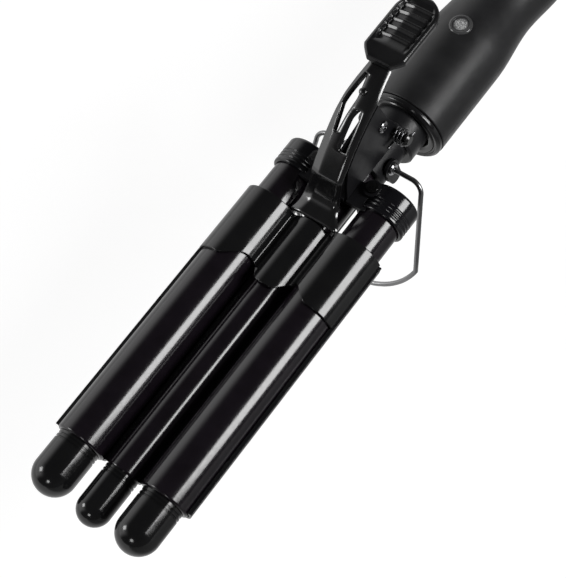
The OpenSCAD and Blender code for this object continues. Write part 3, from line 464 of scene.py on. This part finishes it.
# ---------- collars ----------
COLLAR_GROOVES = (2.2, 4.2, 6.2)
COLLAR_GROOVE_R = COLLAR_R - 0.45
COLLAR_ROUND = 1.8
COLLAR_SOCKET = COLLAR_HI.y - 3.2
COLLAR_BORE_R = CORE_R + 0.05

y0 = COLLAR_LO.y
collar_line = [(COLLAR_BORE_R, y0 + 0.4), (CORE_R + 0.3, y0), (COLLAR_R - 0.9, y0),
               (COLLAR_R - 0.25, y0 + 0.25), (COLLAR_R, y0 + 0.9)]
for groove in COLLAR_GROOVES:
    y = y0 + groove
    collar_line += [(COLLAR_R, y - 0.15), (COLLAR_GROOVE_R, y + 0.2), (COLLAR_GROOVE_R, y + 0.9),
                    (COLLAR_R, y + 1.25)]
collar_line = eased(collar_line, 0.25, 3)
collar_line += circle(COLLAR_R - COLLAR_ROUND, COLLAR_HI.y - COLLAR_ROUND, COLLAR_ROUND, 0, 91, 9)
collar_line += [(0, COLLAR_HI.y), (0, COLLAR_SOCKET), (COLLAR_BORE_R, COLLAR_SOCKET)]
for side, name in SIDES:
    lathe(name + "_collar_moulding", collar_line, side * PITCH, 0, "clamp", "collar_plastic",
          name + "_collar", sides=160)

# ---------- saddle ----------
WEB_Z = 4.6
SKIRT_Z = SADDLE_LO.z
SADDLE_T = 1.75
SADDLE_EDGE = 0.35
VALLEY_SHARPNESS = 1.6
CROWN_STEPS, CROWN_POINTS = 300, 181
# The front edge is cut back by NOTCH where |x| lies between the middle two of these, and eased outside them
NOTCH = 7.7
NOTCH_X = (4.0, 12.0, 13.0, 26.0)
# Rows from the front edge to the rear one, closer together near the edges
SADDLE_ROWS = [0, 0.012, 0.03, 0.1, 0.25, 0.4, 0.55, 0.7, 0.85, 0.97, 0.99, 1]


def saddle_top():
    """The crown line of the saddle's section, from the left skirt to the right one, as (x, z)."""
    line = []
    reach = PITCH + math.sqrt(SADDLE_R ** 2 - SKIRT_Z ** 2)
    for k in range(-CROWN_STEPS, CROWN_STEPS + 1):
        x = reach * math.sin(math.pi / 2 * k / CROWN_STEPS)
        lobe = SADDLE_R ** 2 - (abs(x) - PITCH) ** 2
        middle = SADDLE_MID_R ** 2 - x * x
        heights = [WEB_Z if abs(x) < PITCH else SKIRT_Z]
        if lobe > 0:
            heights.append(math.sqrt(lobe))
        if middle > 0:
            heights.append(MID_Z + math.sqrt(middle))
        # Between the lobes a soft maximum rounds the valleys
        z = max(heights)
        if abs(x) < PITCH:
            z = math.log(sum(math.exp(VALLEY_SHARPNESS * h) for h in heights)) / VALLEY_SHARPNESS
        line.append((x, max(SKIRT_Z, z)))
    return line


def even_line(line, count):
    """Points at even steps along a line."""
    lengths = [0]
    for a, b in zip(line, line[1:]):
        lengths.append(lengths[-1] + math.dist(a, b))
    out, j = [], 0
    for k in range(count):
        s = lengths[-1] * k / (count - 1)
        while j < len(line) - 2 and lengths[j + 1] < s:
            j += 1
        t = (s - lengths[j]) / max(1e-9, lengths[j + 1] - lengths[j])
        out.append((mix(line[j][0], line[j + 1][0], t), mix(line[j][1], line[j + 1][1], t)))
    return out


def notch(x):
    """How far the saddle's front edge is cut back."""
    start, full, full_end, end = NOTCH_X
    bite = NOTCH * ease((abs(x) - start) / (full - start))
    return bite * (1 - ease((abs(x) - full_end) / (end - full_end)))


def thicken(obj, thickness):
    """Gives a sheet a thickness below its face."""
    solid = obj.modifiers.new("thickness", "SOLIDIFY")
    solid.thickness = thickness * MM
    solid.offset = -1


crown = even_line(saddle_top(), CROWN_POINTS)
verts = [at(x, mix(SADDLE_LO.y + notch(x), SADDLE_HI.y, t), z) for t in SADDLE_ROWS for x, z in crown]
saddle = piece("saddle_shell", verts, grid_faces(len(SADDLE_ROWS), len(crown)), "clamp", "saddle_coat",
               "saddle", smooth_angle=60, flat_normals=False)
thicken(saddle, SADDLE_T)
edges = saddle.modifiers.new("edges", "BEVEL")
edges.width = SADDLE_EDGE * MM
edges.segments = 3
edges.limit_method = "ANGLE"
edges.angle_limit = math.radians(50)

# ---------- lever ----------
LEVER_T = 2.9
TOP_Z = ends("lever")[1].z
TAIL_Y = ends("lever")[1].y
FOOT_Y = COLLAR_LO.y - 7
FOOT_Z = MID_Z + MID_R + 1.2
TOE_Y = SADDLE_HI.y + 0.02
# The arch's top line is a curve from the knee over the bend to the top, in Y and Z
KNEE = Vector((FOOT_Y + 3.5, FOOT_Z + 19))
BEND = Vector((-36, TOP_Z - 7))
TOP = Vector((-7, TOP_Z))


def arch(t):
    """A point of the arch's top line, from its knee at 0 to its top at 1."""
    return (1 - t) ** 2 * KNEE + 2 * t * (1 - t) * BEND + t * t * TOP


def arch_normal(t):
    """The direction square to the arch's top line."""
    along = ((1 - t) * (BEND - KNEE) + t * (TOP - BEND)).normalized()
    return Vector((-along.y, along.x))


def between(table, t):
    """The value at t in a table of (t, value) pairs, in straight steps."""
    if t <= table[0][0]:
        return table[0][1]
    for (t0, v0), (t1, v1) in zip(table, table[1:]):
        if t <= t1:
            return mix(v0, v1, (t - t0) / (t1 - t0))
    return table[-1][1]


# Rows of the foot: Y and Z of its top line, the direction square to it, half widths to the left and right
SOLE = Vector((-0.1, 1)).normalized()
FOOT_ROWS = [
    ((TOE_Y, FOOT_Z + 2.6), SOLE, 13.0, 14.6),
    ((TOE_Y + 2.5, FOOT_Z + 3.0), SOLE, 12.2, 14.0),
    ((TOE_Y + 5.5, FOOT_Z + 3.6), SOLE, 11.4, 11.4),
    ((FOOT_Y - 3, FOOT_Z + 4.8), (-0.5, 0.87), 11.2, 9.6),
    ((FOOT_Y - 1.2, FOOT_Z + 6.8), (-0.7, 0.7), 11.0, 9.0),
    ((FOOT_Y + 0.2, FOOT_Z + 9.4), (-0.88, 0.45), 10.2, 8.9),
    ((FOOT_Y + 1.4, FOOT_Z + 12.5), (-0.93, 0.36), 9.5, 8.9),
    ((FOOT_Y + 2.5, FOOT_Z + 15.8), (-0.95, 0.3), 9.1, 9.0)]
TAIL_PLACES = (TOP.x + 4, TOP.x + 12, TAIL_Y - 2, TAIL_Y)
TAIL_HALF = 5.8
# Half widths by place along the arch, to the left and to the right
LEFT_EDGE = [(0, 8.9), (0.3, 8.9), (0.5, 9.0), (0.65, 8.6), (0.8, 7.3), (0.95, 5.9), (1, TAIL_HALF)]
RIGHT_EDGE = [(0, 9.0), (0.7, 9.0), (0.84, 7.8), (0.97, 6.9), (1, TAIL_HALF)]
# Two sides of the left window A and of the right window B, as X by place along the arch
A_LEFT = [(0.34, -4.6), (0.43, -5.3), (0.51, -6.1), (0.58, -7.1), (0.66, -6.5), (0.76, -5.3), (0.86, -4.0)]
A_RIGHT = [(0.34, -3.6), (0.44, -3.1), (0.54, -2.6), (0.66, -1.6), (0.74, -2.2), (0.86, -3.2)]
B_LEFT = [(0.22, 1.9), (0.37, 1.6), (0.51, 1.4), (0.575, 3.0)]
B_RIGHT = [(0.22, 5.2), (0.25, 5.2), (0.4, 4.9), (0.52, 4.4), (0.575, 3.6)]
A_SPAN = (0.35, 0.86)
B_SPAN = (0.225, 0.575)
# The columns of faces that the windows take out, with each window's reach along the arch
WINDOWS = {4: A_SPAN, 6: B_SPAN}
ARCH_T = sorted({*[k / 32 for k in range(33)], *A_SPAN, *B_SPAN})
# The left shoulder's width and its fall by place along the arch, and those of the right edge
SHOULDER = [(0, 5.2), (0.35, 4.4), (0.6, 3.0), (1, 3.2)]
CROWN = [(0, 1.7), (0.6, 1.3), (1, 1.3)]
RIGHT_SHOULDER = 2.4
RIGHT_CROWN = 1.8
# Columns near the two edges, as distances from them, and the least distance between two columns
LEFT_COLUMN = 0.4
RIGHT_COLUMNS = (2.2, 1.0, 0.35, 0)
LEAST_STEP = 0.3
EPSILON = 1e-6


def lever_columns(left, right, t):
    """Places across the lever, from its left edge to its right one."""
    window = between(A_LEFT, t)
    leg = left + window
    shoulder = between(SHOULDER, t)
    cols = [-left, -left + LEFT_COLUMN, -left + 0.5 * min(leg, shoulder),
            -left + min(leg - LEFT_COLUMN, shoulder),
            window, between(A_RIGHT, t), between(B_LEFT, t), between(B_RIGHT, t)]
    cols += [right - inset for inset in RIGHT_COLUMNS]
    for k in range(1, len(cols)):
        cols[k] = max(cols[k], cols[k - 1] + LEAST_STEP)
    over = cols[-1] - right
    return [x - over * (k / (len(cols) - 1)) for k, x in enumerate(cols)]


def lever_drop(x, left, right, t):
    """How far the face lies below the top line at x, because its two sides are rounded."""
    drop = between(CROWN, t) * max(0, 1 - (x + left) / between(SHOULDER, t)) ** 1.05
    return drop + RIGHT_CROWN * max(0, 1 - (right - x) / RIGHT_SHOULDER) ** 1.4


# Each row: its top point, the direction square to it, its two half widths and its place along the arch
lever_rows = [(Vector(place), Vector(normal), left, right, 0) for place, normal, left, right in FOOT_ROWS]
lever_rows += [(arch(t), arch_normal(t), between(LEFT_EDGE, t), between(RIGHT_EDGE, t), t) for t in ARCH_T]
lever_rows += [(Vector((y, TOP_Z)), Vector((0, 1)), TAIL_HALF, TAIL_HALF, 1) for y in TAIL_PLACES]
verts = []
for place, normal, left, right, t in lever_rows:
    for x in lever_columns(left, right, t):
        point = place - normal * lever_drop(x, left, right, t)
        verts.append(at(x, point.x, point.y))


def in_window(r, c):
    """Whether the face behind row r and right of column c would close a window."""
    if c not in WINDOWS:
        return False
    start, end = WINDOWS[c]
    return start - EPSILON <= lever_rows[r][4] and lever_rows[r + 1][4] <= end + EPSILON


faces = grid_faces(len(lever_rows), len(verts) // len(lever_rows), skip=in_window)
lever = piece("clamp_lever", verts, faces, "clamp", "lever_gloss", "lever", "lever_rib",
              smooth_angle=80, flat_normals=False)
thicken(lever, LEVER_T)
rounding = lever.modifiers.new("rounding", "SUBSURF")
rounding.levels = rounding.render_levels = 2

# The rivet on the lever's middle bar: a dome, and a shank through the lever
RIVET_T = 0.72
RIVET_R = 1.9
RIVET_SHANK_R, RIVET_END = 1.2, -LEVER_T - 1.4
rivet_at, rivet_up = arch(RIVET_T), arch_normal(RIVET_T)
angles = [math.radians(a) for a in range(0, 91, 10)]
rivet = [(RIVET_R * math.sin(a), 0.2 + 0.9 * math.cos(a)) for a in angles]
rivet += [(RIVET_R, -0.5), (RIVET_SHANK_R, -0.5), (RIVET_SHANK_R, RIVET_END), (0, RIVET_END)]
turned("lever_rivet_head", rivet, (0, rivet_at.x, rivet_at.y), (0, rivet_up.x, rivet_up.y), "clamp",
       "screw_steel", "lever_rivet")

# ---------- thumb pad ----------
PAD_LO, PAD_HI = ends("thumb_pad")
PAD_W = (PAD_HI.x - PAD_LO.x) / 2
PAD_LEN = PAD_HI.y - PAD_LO.y
PAD_T = PAD_HI.z - PAD_LO.z
# The nose is narrower by NOSE_TAPER on each side, and the rim rolls over by ROLL_DROP
NOSE_LEN, NOSE_TAPER = 6, 5.2
RIM_DROP, ROLL_W, ROLL_DROP = 0.25, 2.0, 1.9
SLOPE_LEN, SLOPE_DROP, SLOPE_RUN = 8, 0.5, 6
# The dish is DISH deep and stays this far inside the rim at the sides and at the rear
DISH = 2.55
DISH_SIDE, DISH_SIDE_RUN = 2.2, 1.3
DISH_REAR, DISH_REAR_RUN = 3.4, 4.5
# Its floor rises from its left side by CREST, and the ribs stand on it
CREST, CREST_RUN, CREST_END = 1.6, 7.0, 2.4
RIBS, RIB_FIRST, RIB_PITCH = 5, 15.0, 4.7
RIB_H, RIB_HALF, RIB_FRONT, RIB_REAR, RIB_END = 1.05, 9.2, 1.4, 0.9, 0.7
PAD_EDGE_H = 0.9
PAD_ROWS, PAD_COLS = 150, 61
ROW_BUNCHING = 0.35


def ease_in(distance, run, corner=0.12):
    """Rises evenly from 0 to 1 over a run, with its two corners rounded."""
    t = min(1 + corner, max(-corner, distance / run))
    if t < corner:
        return (t + corner) ** 2 / (4 * corner)
    return t if t < 1 - corner else 1 - (1 + corner - t) ** 2 / (4 * corner)


def pad_half_width(d):
    """Half width of the pad at a distance from its front edge."""
    if d < NOSE_LEN:
        return PAD_W - NOSE_TAPER * (1 - d / NOSE_LEN) ** 1.3
    back = d - (PAD_LEN - PAD_W)
    return PAD_W if back <= 0 else math.sqrt(max(0, PAD_W ** 2 - back ** 2))


def pad_height(x, d):
    """Top of the pad: rolled rim, a dish behind the front slope, and rounded ribs across the dish."""
    w = pad_half_width(d)
    roll = min(1, max(0, min(w - abs(x), d + 0.4, PAD_LEN - d) / ROLL_W))
    z = PAD_T - RIM_DROP - ROLL_DROP * (1 - math.sqrt(max(0, 1 - (1 - roll) ** 2)))
    front = ease((d - SLOPE_LEN) / SLOPE_RUN)
    inside = ease((w - DISH_SIDE - abs(x)) / DISH_SIDE_RUN) * ease((PAD_LEN - DISH_REAR - d) / DISH_REAR_RUN)
    z -= DISH * front * inside
    if d < SLOPE_LEN:
        z -= SLOPE_DROP * (1 - d / SLOPE_LEN)
    right_end = ease((RIB_HALF + 0.4 - x) / CREST_END)
    z += CREST * front * inside * ease_in(x + RIB_HALF, CREST_RUN) * right_end
    for k in range(RIBS):
        off = d - RIB_FIRST - k * RIB_PITCH
        flank = ease_in(off + RIB_FRONT, RIB_FRONT) * (1 - ease(off / RIB_REAR))
        z += RIB_H * flank * inside * ease((RIB_HALF - 0.1 - abs(x)) / RIB_END)
    return z


def pad_row(k):
    """The distance of a row from the front edge. Rows stand closer together near both ends."""
    even = k / (PAD_ROWS - 1)
    bunched = 0.5 - 0.5 * math.cos(math.pi * even)
    return PAD_LEN * bunched * ROW_BUNCHING + PAD_LEN * even * (1 - ROW_BUNCHING)


verts = []
for r in range(PAD_ROWS):
    d = pad_row(r)
    w = max(0.05, pad_half_width(min(d, PAD_LEN - 0.02)))
    across = [w * math.sin(math.pi / 2 * (2 * c / (PAD_COLS - 1) - 1)) for c in range(PAD_COLS)]
    for x in across:
        verts.append(at(x, PAD_LO.y + d, PAD_LO.z + max(PAD_EDGE_H, pad_height(x, d))))
    for x in across[::-1]:
        tuck = 0.4 * min(1, abs(x) / w) ** 6
        verts.append(at(x * (1 - 0.05 * tuck), PAD_LO.y + d, PAD_LO.z + tuck * 0.5))
faces = grid_faces(PAD_ROWS, 2 * PAD_COLS, wrap_cols=True) + end_faces(PAD_ROWS, 2 * PAD_COLS)
piece("pad_moulding", verts, faces, "clamp", "pad_plastic", "thumb_pad", smooth_angle=50)

# ---------- handle ----------
WALL = 2.4
SLEEVE_R = 14.5
SHELL_BORE_R = SLEEVE_R + 0.05
TAIL_R, TAIL_ROUND = 17.6, 6
GLAND_HOLE_R = 6.65
# (distance, radius) pairs along the grip: widest at the button, with a waist behind it
STATIONS = [(RING_LEN, 21.8), (53.4, 22.0), (84.4, 19.4), (HANDLE_LEN - 36, 21.6),
            (HANDLE_LEN - TAIL_ROUND, TAIL_R)]
# Half of the fine seam between the two shells, in degrees
SEAM_ANGLE = 0.22


def handle_radius(d):
    """The grip's radius at a distance from its front face."""
    for (d0, r0), (d1, r1) in zip(STATIONS, STATIONS[1:]):
        if d <= d1:
            return mix(r0, r1, ease((d - d0) / (d1 - d0)))
    return STATIONS[-1][1]


def grip_line(start, end, steps, inset):
    """(radius, distance) points along the grip, under its skin by inset."""
    places = [mix(start, end, k / steps) for k in range(steps + 1)]
    return [(handle_radius(d) - inset, d) for d in places]


shell_line = [(SHELL_BORE_R, RING_LEN), (21.0, RING_LEN), (21.5, RING_LEN + 0.15)]
shell_line += grip_line(RING_LEN + 0.5, HANDLE_LEN - TAIL_ROUND, 90, 0)
shell_line += circle(TAIL_R - TAIL_ROUND, HANDLE_LEN - TAIL_ROUND, TAIL_ROUND, 10, 91, 10)
shell_line += [(GLAND_HOLE_R, HANDLE_LEN), (GLAND_HOLE_R, HANDLE_LEN - WALL), (13, HANDLE_LEN - WALL)]
shell_line += grip_line(HANDLE_LEN - 8, RING_LEN + WALL, 30, WALL)
shell_line += [(SHELL_BORE_R, RING_LEN + WALL)]
for name, node, start in (("grip_upper", "handle_upper_shell", 0), ("grip_lower", "handle_lower_shell", 180)):
    lathe(name, shell_line, 0, HANDLE_Z, "handle", "matte_grip", node,
          turn=(start + SEAM_ANGLE, start + 180 - SEAM_ANGLE), sides=120, smooth_angle=30)

# The front ring has two lips with a groove between them
FRONT_R = ends("handle_front_ring")[1].x
RING_BORE_R = SLEEVE_R + 0.1
ring = [(RING_BORE_R, 0.8), (SLEEVE_R + 0.9, 0.02), (17.6, 0.02), (18.2, 1.0), (18.9, 1.0), (19.5, 0.02),
        (FRONT_R - 1.3, 0.02), (FRONT_R, 1.2), (FRONT_R, 2.9), (FRONT_R - 0.6, RING_LEN - 0.02),
        (RING_BORE_R, RING_LEN - 0.02)]
lathe("front_ring_turned", eased(ring, 0.6, 5), 0, HANDLE_Z, "handle", "front_ring", "handle_front_ring",
      sides=192)

# ---------- power button ----------
BUTTON_LO, BUTTON_HI = ends("power_button")
BEZEL_LO, BEZEL_HI = ends("button_bezel")
BUTTON_Y = (BUTTON_LO.y + BUTTON_HI.y) / 2
BUTTON_R = (BUTTON_HI.x - BUTTON_LO.x) / 2
BEZEL_R = (BEZEL_HI.x - BEZEL_LO.x) / 2
BEZEL_BORE_R = BUTTON_R + 0.08
BEZEL_NECK_R = BEZEL_R - 1.2
DISC_R = BUTTON_R - 0.85
FACE_DROP = 0.08
STEM_R, STEM_END = 1.6, BUTTON_LO.z - BUTTON_HI.z

bezel = [(BEZEL_BORE_R, -4.3), (BEZEL_BORE_R, -0.1), (BUTTON_R + 0.5, 0.0), (BEZEL_R - 0.9, 0.05),
         (BEZEL_R - 0.1, -0.45), (BEZEL_R, -1.8), (BEZEL_NECK_R, -1.9), (BEZEL_NECK_R, -4.4),
         (BEZEL_BORE_R, -4.4)]
turned("bezel_turned", eased(bezel, 0.4, 4), (0, BUTTON_Y, BEZEL_HI.z), (0, 0, 1), "handle", "bezel",
       "button_bezel", sides=96)
face = [(0, 0.0), (BUTTON_R * 0.5, -0.03), (DISC_R, -0.12), (DISC_R + 0.15, 0.05), (BUTTON_R - 0.35, 0.08),
        (BUTTON_R - 0.05, -0.2), (BUTTON_R, -1.0), (BUTTON_R, -2.2), (STEM_R, -2.2), (STEM_R, STEM_END),
        (0, STEM_END)]
button = turned("button_cap", eased(face, 0.2, 3), (0, BUTTON_Y, BUTTON_HI.z - FACE_DROP), (0, 0, 1),
                "button", "button_face", "power_button", sides=96)
# The dotted disc sits in a satin rim
button.data.materials.append(MATS["bezel"])
middle = at(0, BUTTON_Y, 0)
for polygon in button.data.polygons:
    if math.hypot(polygon.center.x - middle.x, polygon.center.y - middle.y) > DISC_R * MM:
        polygon.material_index = 1

# ---------- hinge: spring and plate screw ----------
SPRING_WIRE = 1.2
SPRING_R = 3.7
SPRING_PITCH = 1.8
TURNS, TURN_STEPS = 3, 40
SPRING_LEG = 7
PIN_HEAD_T, SPRING_GAP = 1.2, 1.6
spring_x = PIN_HI.x - PIN_HEAD_T - SPRING_GAP - TURNS * SPRING_PITCH
spring_foot = HINGE_Z - SPRING_R
spring = [at(spring_x, HINGE_Y - SPRING_LEG, spring_foot)]
for k in range(TURNS * TURN_STEPS + 1):
    turns = k / TURN_STEPS
    a = math.radians(360 * turns - 90)
    spring.append(at(spring_x + SPRING_PITCH * turns, HINGE_Y + SPRING_R * math.cos(a),
                     HINGE_Z + SPRING_R * math.sin(a)))
spring.append(at(spring_x + TURNS * SPRING_PITCH, HINGE_Y + SPRING_LEG, spring_foot))
tube("spring_coil", spring, SPRING_WIRE / 2, "clamp", "spring_steel", "hinge_spring")

# A domed screw head with a cross recess, on its shank
SCREW_LO, SCREW_HI = ends("hinge_plate_screw")
HEAD_R, HEAD_H = 3.1, 1.5
SHANK_R, SHANK_END = 1.5, -1.6
HEAD_RINGS = 14
SEAT_X = SCREW_LO.x + 1.62
places = [k / HEAD_RINGS for k in range(HEAD_RINGS + 1)]
head = [(HEAD_R * t, HEAD_H * math.sqrt(max(0, 1 - 0.75 * t ** 4)) + 0.001) for t in places]
head += [(HEAD_R, 0.05), (HEAD_R - 0.1, 0), (SHANK_R, 0), (SHANK_R, SHANK_END), (0, SHANK_END)]
turned("plate_screw_head", head, (SEAT_X, (SCREW_LO.y + SCREW_HI.y) / 2, (SCREW_LO.z + SCREW_HI.z) / 2),
       (1, 0, 0), "clamp", "bright_steel", "hinge_plate_screw", sides=96,
       cross=(0.16 * HEAD_R, 0.62 * HEAD_R, 0.55 * HEAD_H))

# ---------- kickstand ----------
KICK_Y, KICK_Z = HINGE_Y - 10, 1.0
KICK_ANGLE = math.radians(65.5)
KICK_R = 1.25
PIVOT_END, PIVOT_REACH = 10.4, 15.2
TOP_HALF, FOOT_HALF, ARM, LOOP_LEN, BEND_R = 31.0, 37.0, 51.0, 76.0, 6.5
# The foot is one shallow arc between the two arms
FOOT_R = (FOOT_HALF ** 2 + (LOOP_LEN - ARM) ** 2) / (2 * (LOOP_LEN - ARM))
FOOT_A = math.acos(FOOT_HALF / FOOT_R)


def kick_place(x, u):
    """A place on the kickstand: x across and u away from its pivot, at rest."""
    return at(x, KICK_Y - u * math.cos(KICK_ANGLE), KICK_Z - u * math.sin(KICK_ANGLE))


def kick_half(side):
    """One side of the loop, from its pivot in the bracket round the bend and down the arm."""
    half = [(side * PIVOT_END, 0), (side * PIVOT_REACH, 0)]
    for a in range(0, 91, 6):
        bend = math.radians(a)
        half.append((side * (TOP_HALF - BEND_R + BEND_R * math.sin(bend)), BEND_R - BEND_R * math.cos(bend)))
    return half + [(side * mix(TOP_HALF, FOOT_HALF, k / 6), mix(BEND_R, ARM, k / 6)) for k in range(1, 6)]


foot = [mix(FOOT_A, math.pi - FOOT_A, k / 50) for k in range(51)]
foot = [(FOOT_R * math.cos(a), LOOP_LEN - FOOT_R + FOOT_R * math.sin(a)) for a in foot]
route = kick_half(1) + foot + kick_half(-1)[::-1]
tube("stand_wire", [kick_place(*p) for p in route], KICK_R, "kickstand", "wire_steel", "kickstand_wire")

# An eyelet stands on the outer face of each lug of the bracket
EYELET_T = 1.6
LUG_X = ends("kickstand_eyelets")[1].x - EYELET_T
EYELET = [(1.3, 0), (3.4, 0), (3.4, 0.7), (2.6, 1.55), (1.95, 1.5), (1.3, 0.9)]
eyelet = eased(EYELET, 0.35, 4, closed=True)
eyelet.append(eyelet[0])
# The two are one CAD node, which the right one replaces
for side, name in SIDES:
    nodes = ("kickstand_eyelets",) if side > 0 else ()
    turned("eyelet_" + name, eyelet, (side * LUG_X, KICK_Y, KICK_Z), (side, 0, 0), "handle", "bright_steel",
           *nodes)

# ---------- cord gland ----------
GLAND_END = ends("swivel_gland")[1].y
CORD_R = 3.25
GLAND_R, GLAND_FLANGE_R = 6.5, 8.7
GLAND_RIBS, GLAND_RIB_FIRST, GLAND_RIB_PITCH = 5, 2.2, 1.9
GLAND_RIB_R, GLAND_TAPER, GLAND_GROOVE = 6.45, 0.3, 0.6
gland = [(CORD_R, -6.8), (GLAND_R, -6.8), (GLAND_R, -4.9), (GLAND_FLANGE_R, -4.9), (GLAND_FLANGE_R, -2.5),
         (GLAND_R, -2.5), (GLAND_R, 1.5)]
gland = [(r, HANDLE_LEN + y) for r, y in gland]
for k in range(GLAND_RIBS):
    y = HANDLE_LEN + GLAND_RIB_FIRST + GLAND_RIB_PITCH * k
    r = GLAND_RIB_R - GLAND_TAPER * k
    gland += [(r, y), (r, y + 1.1), (r - GLAND_GROOVE, y + 1.25), (r - GLAND_GROOVE, y + 1.75)]
gland += [(4.9, GLAND_END - 0.3), (4.5, GLAND_END), (CORD_R, GLAND_END)]
lathe("gland_moulding", gland, 0, HANDLE_Z, "cord_swivel", "gland_rubber", "swivel_gland", sides=96)


# ---------- light ----------
AIM = Vector((0.0, -0.28, 0.01))
WHITE = (1, 1, 1, 1)


def softbox(name, azimuth, elevation, distance, width, height, radiance):
    """A lamp aimed at the object, azimuth from +Y towards +X. The radiance is what a mirror would show."""
    lamp = bpy.data.lights.new(name, "AREA")
    lamp.shape = "RECTANGLE"
    lamp.size = width
    lamp.size_y = height
    lamp.energy = radiance * math.pi * width * height
    a, e = math.radians(azimuth), math.radians(elevation)
    towards = Vector((math.sin(a) * math.cos(e), math.cos(a) * math.cos(e), math.sin(e)))
    obj = bpy.data.objects.new(name, lamp)
    obj.location = AIM + distance * towards
    obj.rotation_mode = "QUATERNION"
    obj.rotation_quaternion = (AIM - obj.location).to_track_quat("-Z", "Y")
    bpy.context.scene.collection.objects.link(obj)


softbox("key_right", 71, 28, 1.5, 0.62, 0.68, 14)
softbox("fill_front_left", -121, 33, 1.6, 0.42, 0.42, 9)
softbox("fill_front", 170, 27, 1.6, 0.30, 0.30, 8)


def by_ray(nt, seen, unseen, *kinds):
    """Shows one shader to the given kinds of ray and another to the rest."""
    path = add(nt, "ShaderNodeLightPath")
    kind = path.outputs[kinds[0]]
    for other in kinds[1:]:
        either = add(nt, "ShaderNodeMath", operation="MAXIMUM")
        nt.links.new(kind, either.inputs[0])
        nt.links.new(path.outputs[other], either.inputs[1])
        kind = either.outputs["Value"]
    choose = add(nt, "ShaderNodeMixShader")
    nt.links.new(kind, choose.inputs["Fac"])
    nt.links.new(unseen, choose.inputs[1])
    nt.links.new(seen, choose.inputs[2])
    return choose.outputs["Shader"]


def add_shaders(nt, a, b):
    """The sum of two shaders."""
    total = add(nt, "ShaderNodeAddShader")
    nt.links.new(a, total.inputs[0])
    nt.links.new(b, total.inputs[1])
    return total.outputs["Shader"]


def split(nt, coordinates):
    """The X, Y and Z of one of the texture coordinates."""
    axes = add(nt, "ShaderNodeSeparateXYZ")
    nt.links.new(add(nt, "ShaderNodeTexCoord").outputs[coordinates], axes.inputs["Vector"])
    return axes.outputs


# The room's light by height on its bright side and elsewhere: Z from start to end, and the levels there
LEFT_LEVEL = (0.42, 0.85, 1.6, 0.05)
OTHER_LEVEL = (0.1, 0.7, 0.1, 0.05)
# Where the bright side lies: towards -X, but not behind the tips towards -Y
LEFT_REACH = (-0.7, -0.1, 1.0, 0.0)
BESIDE = (-0.85, -0.62, 0.0, 1.0)
BACKDROP_LEVEL = 1.05


def build_room():
    """A world that is bright low down on the left, dim elsewhere, and white behind the object."""
    world = bpy.data.worlds.new("studio")
    world.use_nodes = True
    bpy.context.scene.world = world
    nt = world.node_tree
    nt.nodes.remove(nt.nodes["Background"])
    towards = split(nt, "Generated")
    left_level = ramp(nt, towards["Z"], *LEFT_LEVEL)
    other_level = ramp(nt, towards["Z"], *OTHER_LEVEL)
    on_left = add(nt, "ShaderNodeMath", operation="MULTIPLY")
    nt.links.new(ramp(nt, towards["X"], *LEFT_REACH), on_left.inputs[0])
    nt.links.new(ramp(nt, towards["Y"], *BESIDE), on_left.inputs[1])
    level = add(nt, "ShaderNodeMix", data_type="FLOAT")
    nt.links.new(on_left.outputs["Value"], level.inputs[0])
    nt.links.new(other_level, level.inputs[2])
    nt.links.new(left_level, level.inputs[3])
    room = add(nt, "ShaderNodeBackground")
    nt.links.new(level.outputs[0], room.inputs["Strength"])
    backdrop = add(nt, "ShaderNodeBackground")
    put(backdrop, Color=WHITE, Strength=BACKDROP_LEVEL)
    shown = by_ray(nt, backdrop.outputs["Background"], room.outputs["Background"], "Is Camera Ray")
    nt.links.new(shown, nt.nodes["World Output"].inputs["Surface"])


FLOOR_TONES = (0.27,) * 3, (0.29,) * 3
FLOOR_GLOW = 0.84
# The floor's glow in gloss by X in metres, as start, end and the levels there
GLOSS_GLOW = (0.02, 0.09, 0.55, 0.0)
FLOOR_GAP = 0.0005


def build_floor():
    """A floor that the camera sees nearly white.

    Gloss shows it pale to the left and dark to the right, as a dark card laid there would make it.
    """
    bpy.ops.mesh.primitive_plane_add(size=6, location=(0, -0.2, CAD_BOX[0].z - FLOOR_GAP))
    floor = bpy.context.object
    floor.name = "floor"
    mat, nt, shader = new_mat("floor_white")
    put(shader, Roughness=0.9)
    tone = spread(nt, noise(nt, 3, 2), 0, 1)
    nt.links.new(blend_colours(nt, tone, *FLOOR_TONES), shader.inputs["Base Color"])
    card = shader.outputs["BSDF"]
    glow = add(nt, "ShaderNodeEmission")
    put(glow, Color=WHITE, Strength=FLOOR_GLOW)
    dim_glow = add(nt, "ShaderNodeEmission")
    put(dim_glow, Color=WHITE)
    nt.links.new(ramp(nt, split(nt, "Object")["X"], *GLOSS_GLOW), dim_glow.inputs["Strength"])
    in_gloss = by_ray(nt, add_shaders(nt, card, dim_glow.outputs["Emission"]), card, "Is Glossy Ray")
    shown = by_ray(nt, add_shaders(nt, card, glow.outputs["Emission"]), in_gloss, "Is Camera Ray",
                   "Is Transmission Ray")
    nt.links.new(shown, nt.nodes["Material Output"].inputs["Surface"])
    floor.data.materials.append(mat)


build_room()
build_floor()

# ---------- camera ----------
# Fitted to the photograph: where it stands, and its right and backward directions
CAMERA_AT = (0.2937, -0.4889, 0.6620)
LENS, SENSOR = 100.18, 36
BACK = Vector((0.3837, -0.2962, 0.8747)).normalized()
UP = BACK.cross(Vector((0.7926, 0.5917, -0.1474))).normalized()
RIGHT = UP.cross(BACK)

scene = bpy.context.scene
camera_data = bpy.data.cameras.new("camera")
camera_data.lens = LENS
camera_data.sensor_width = SENSOR
camera = bpy.data.objects.new("camera", camera_data)
scene.collection.objects.link(camera)
turn = Matrix([[RIGHT[i], UP[i], BACK[i]] for i in range(3)]).to_4x4()
camera.matrix_world = Matrix.Translation(CAMERA_AT) @ turn
scene.camera = camera
scene.view_settings.view_transform = "Standard"
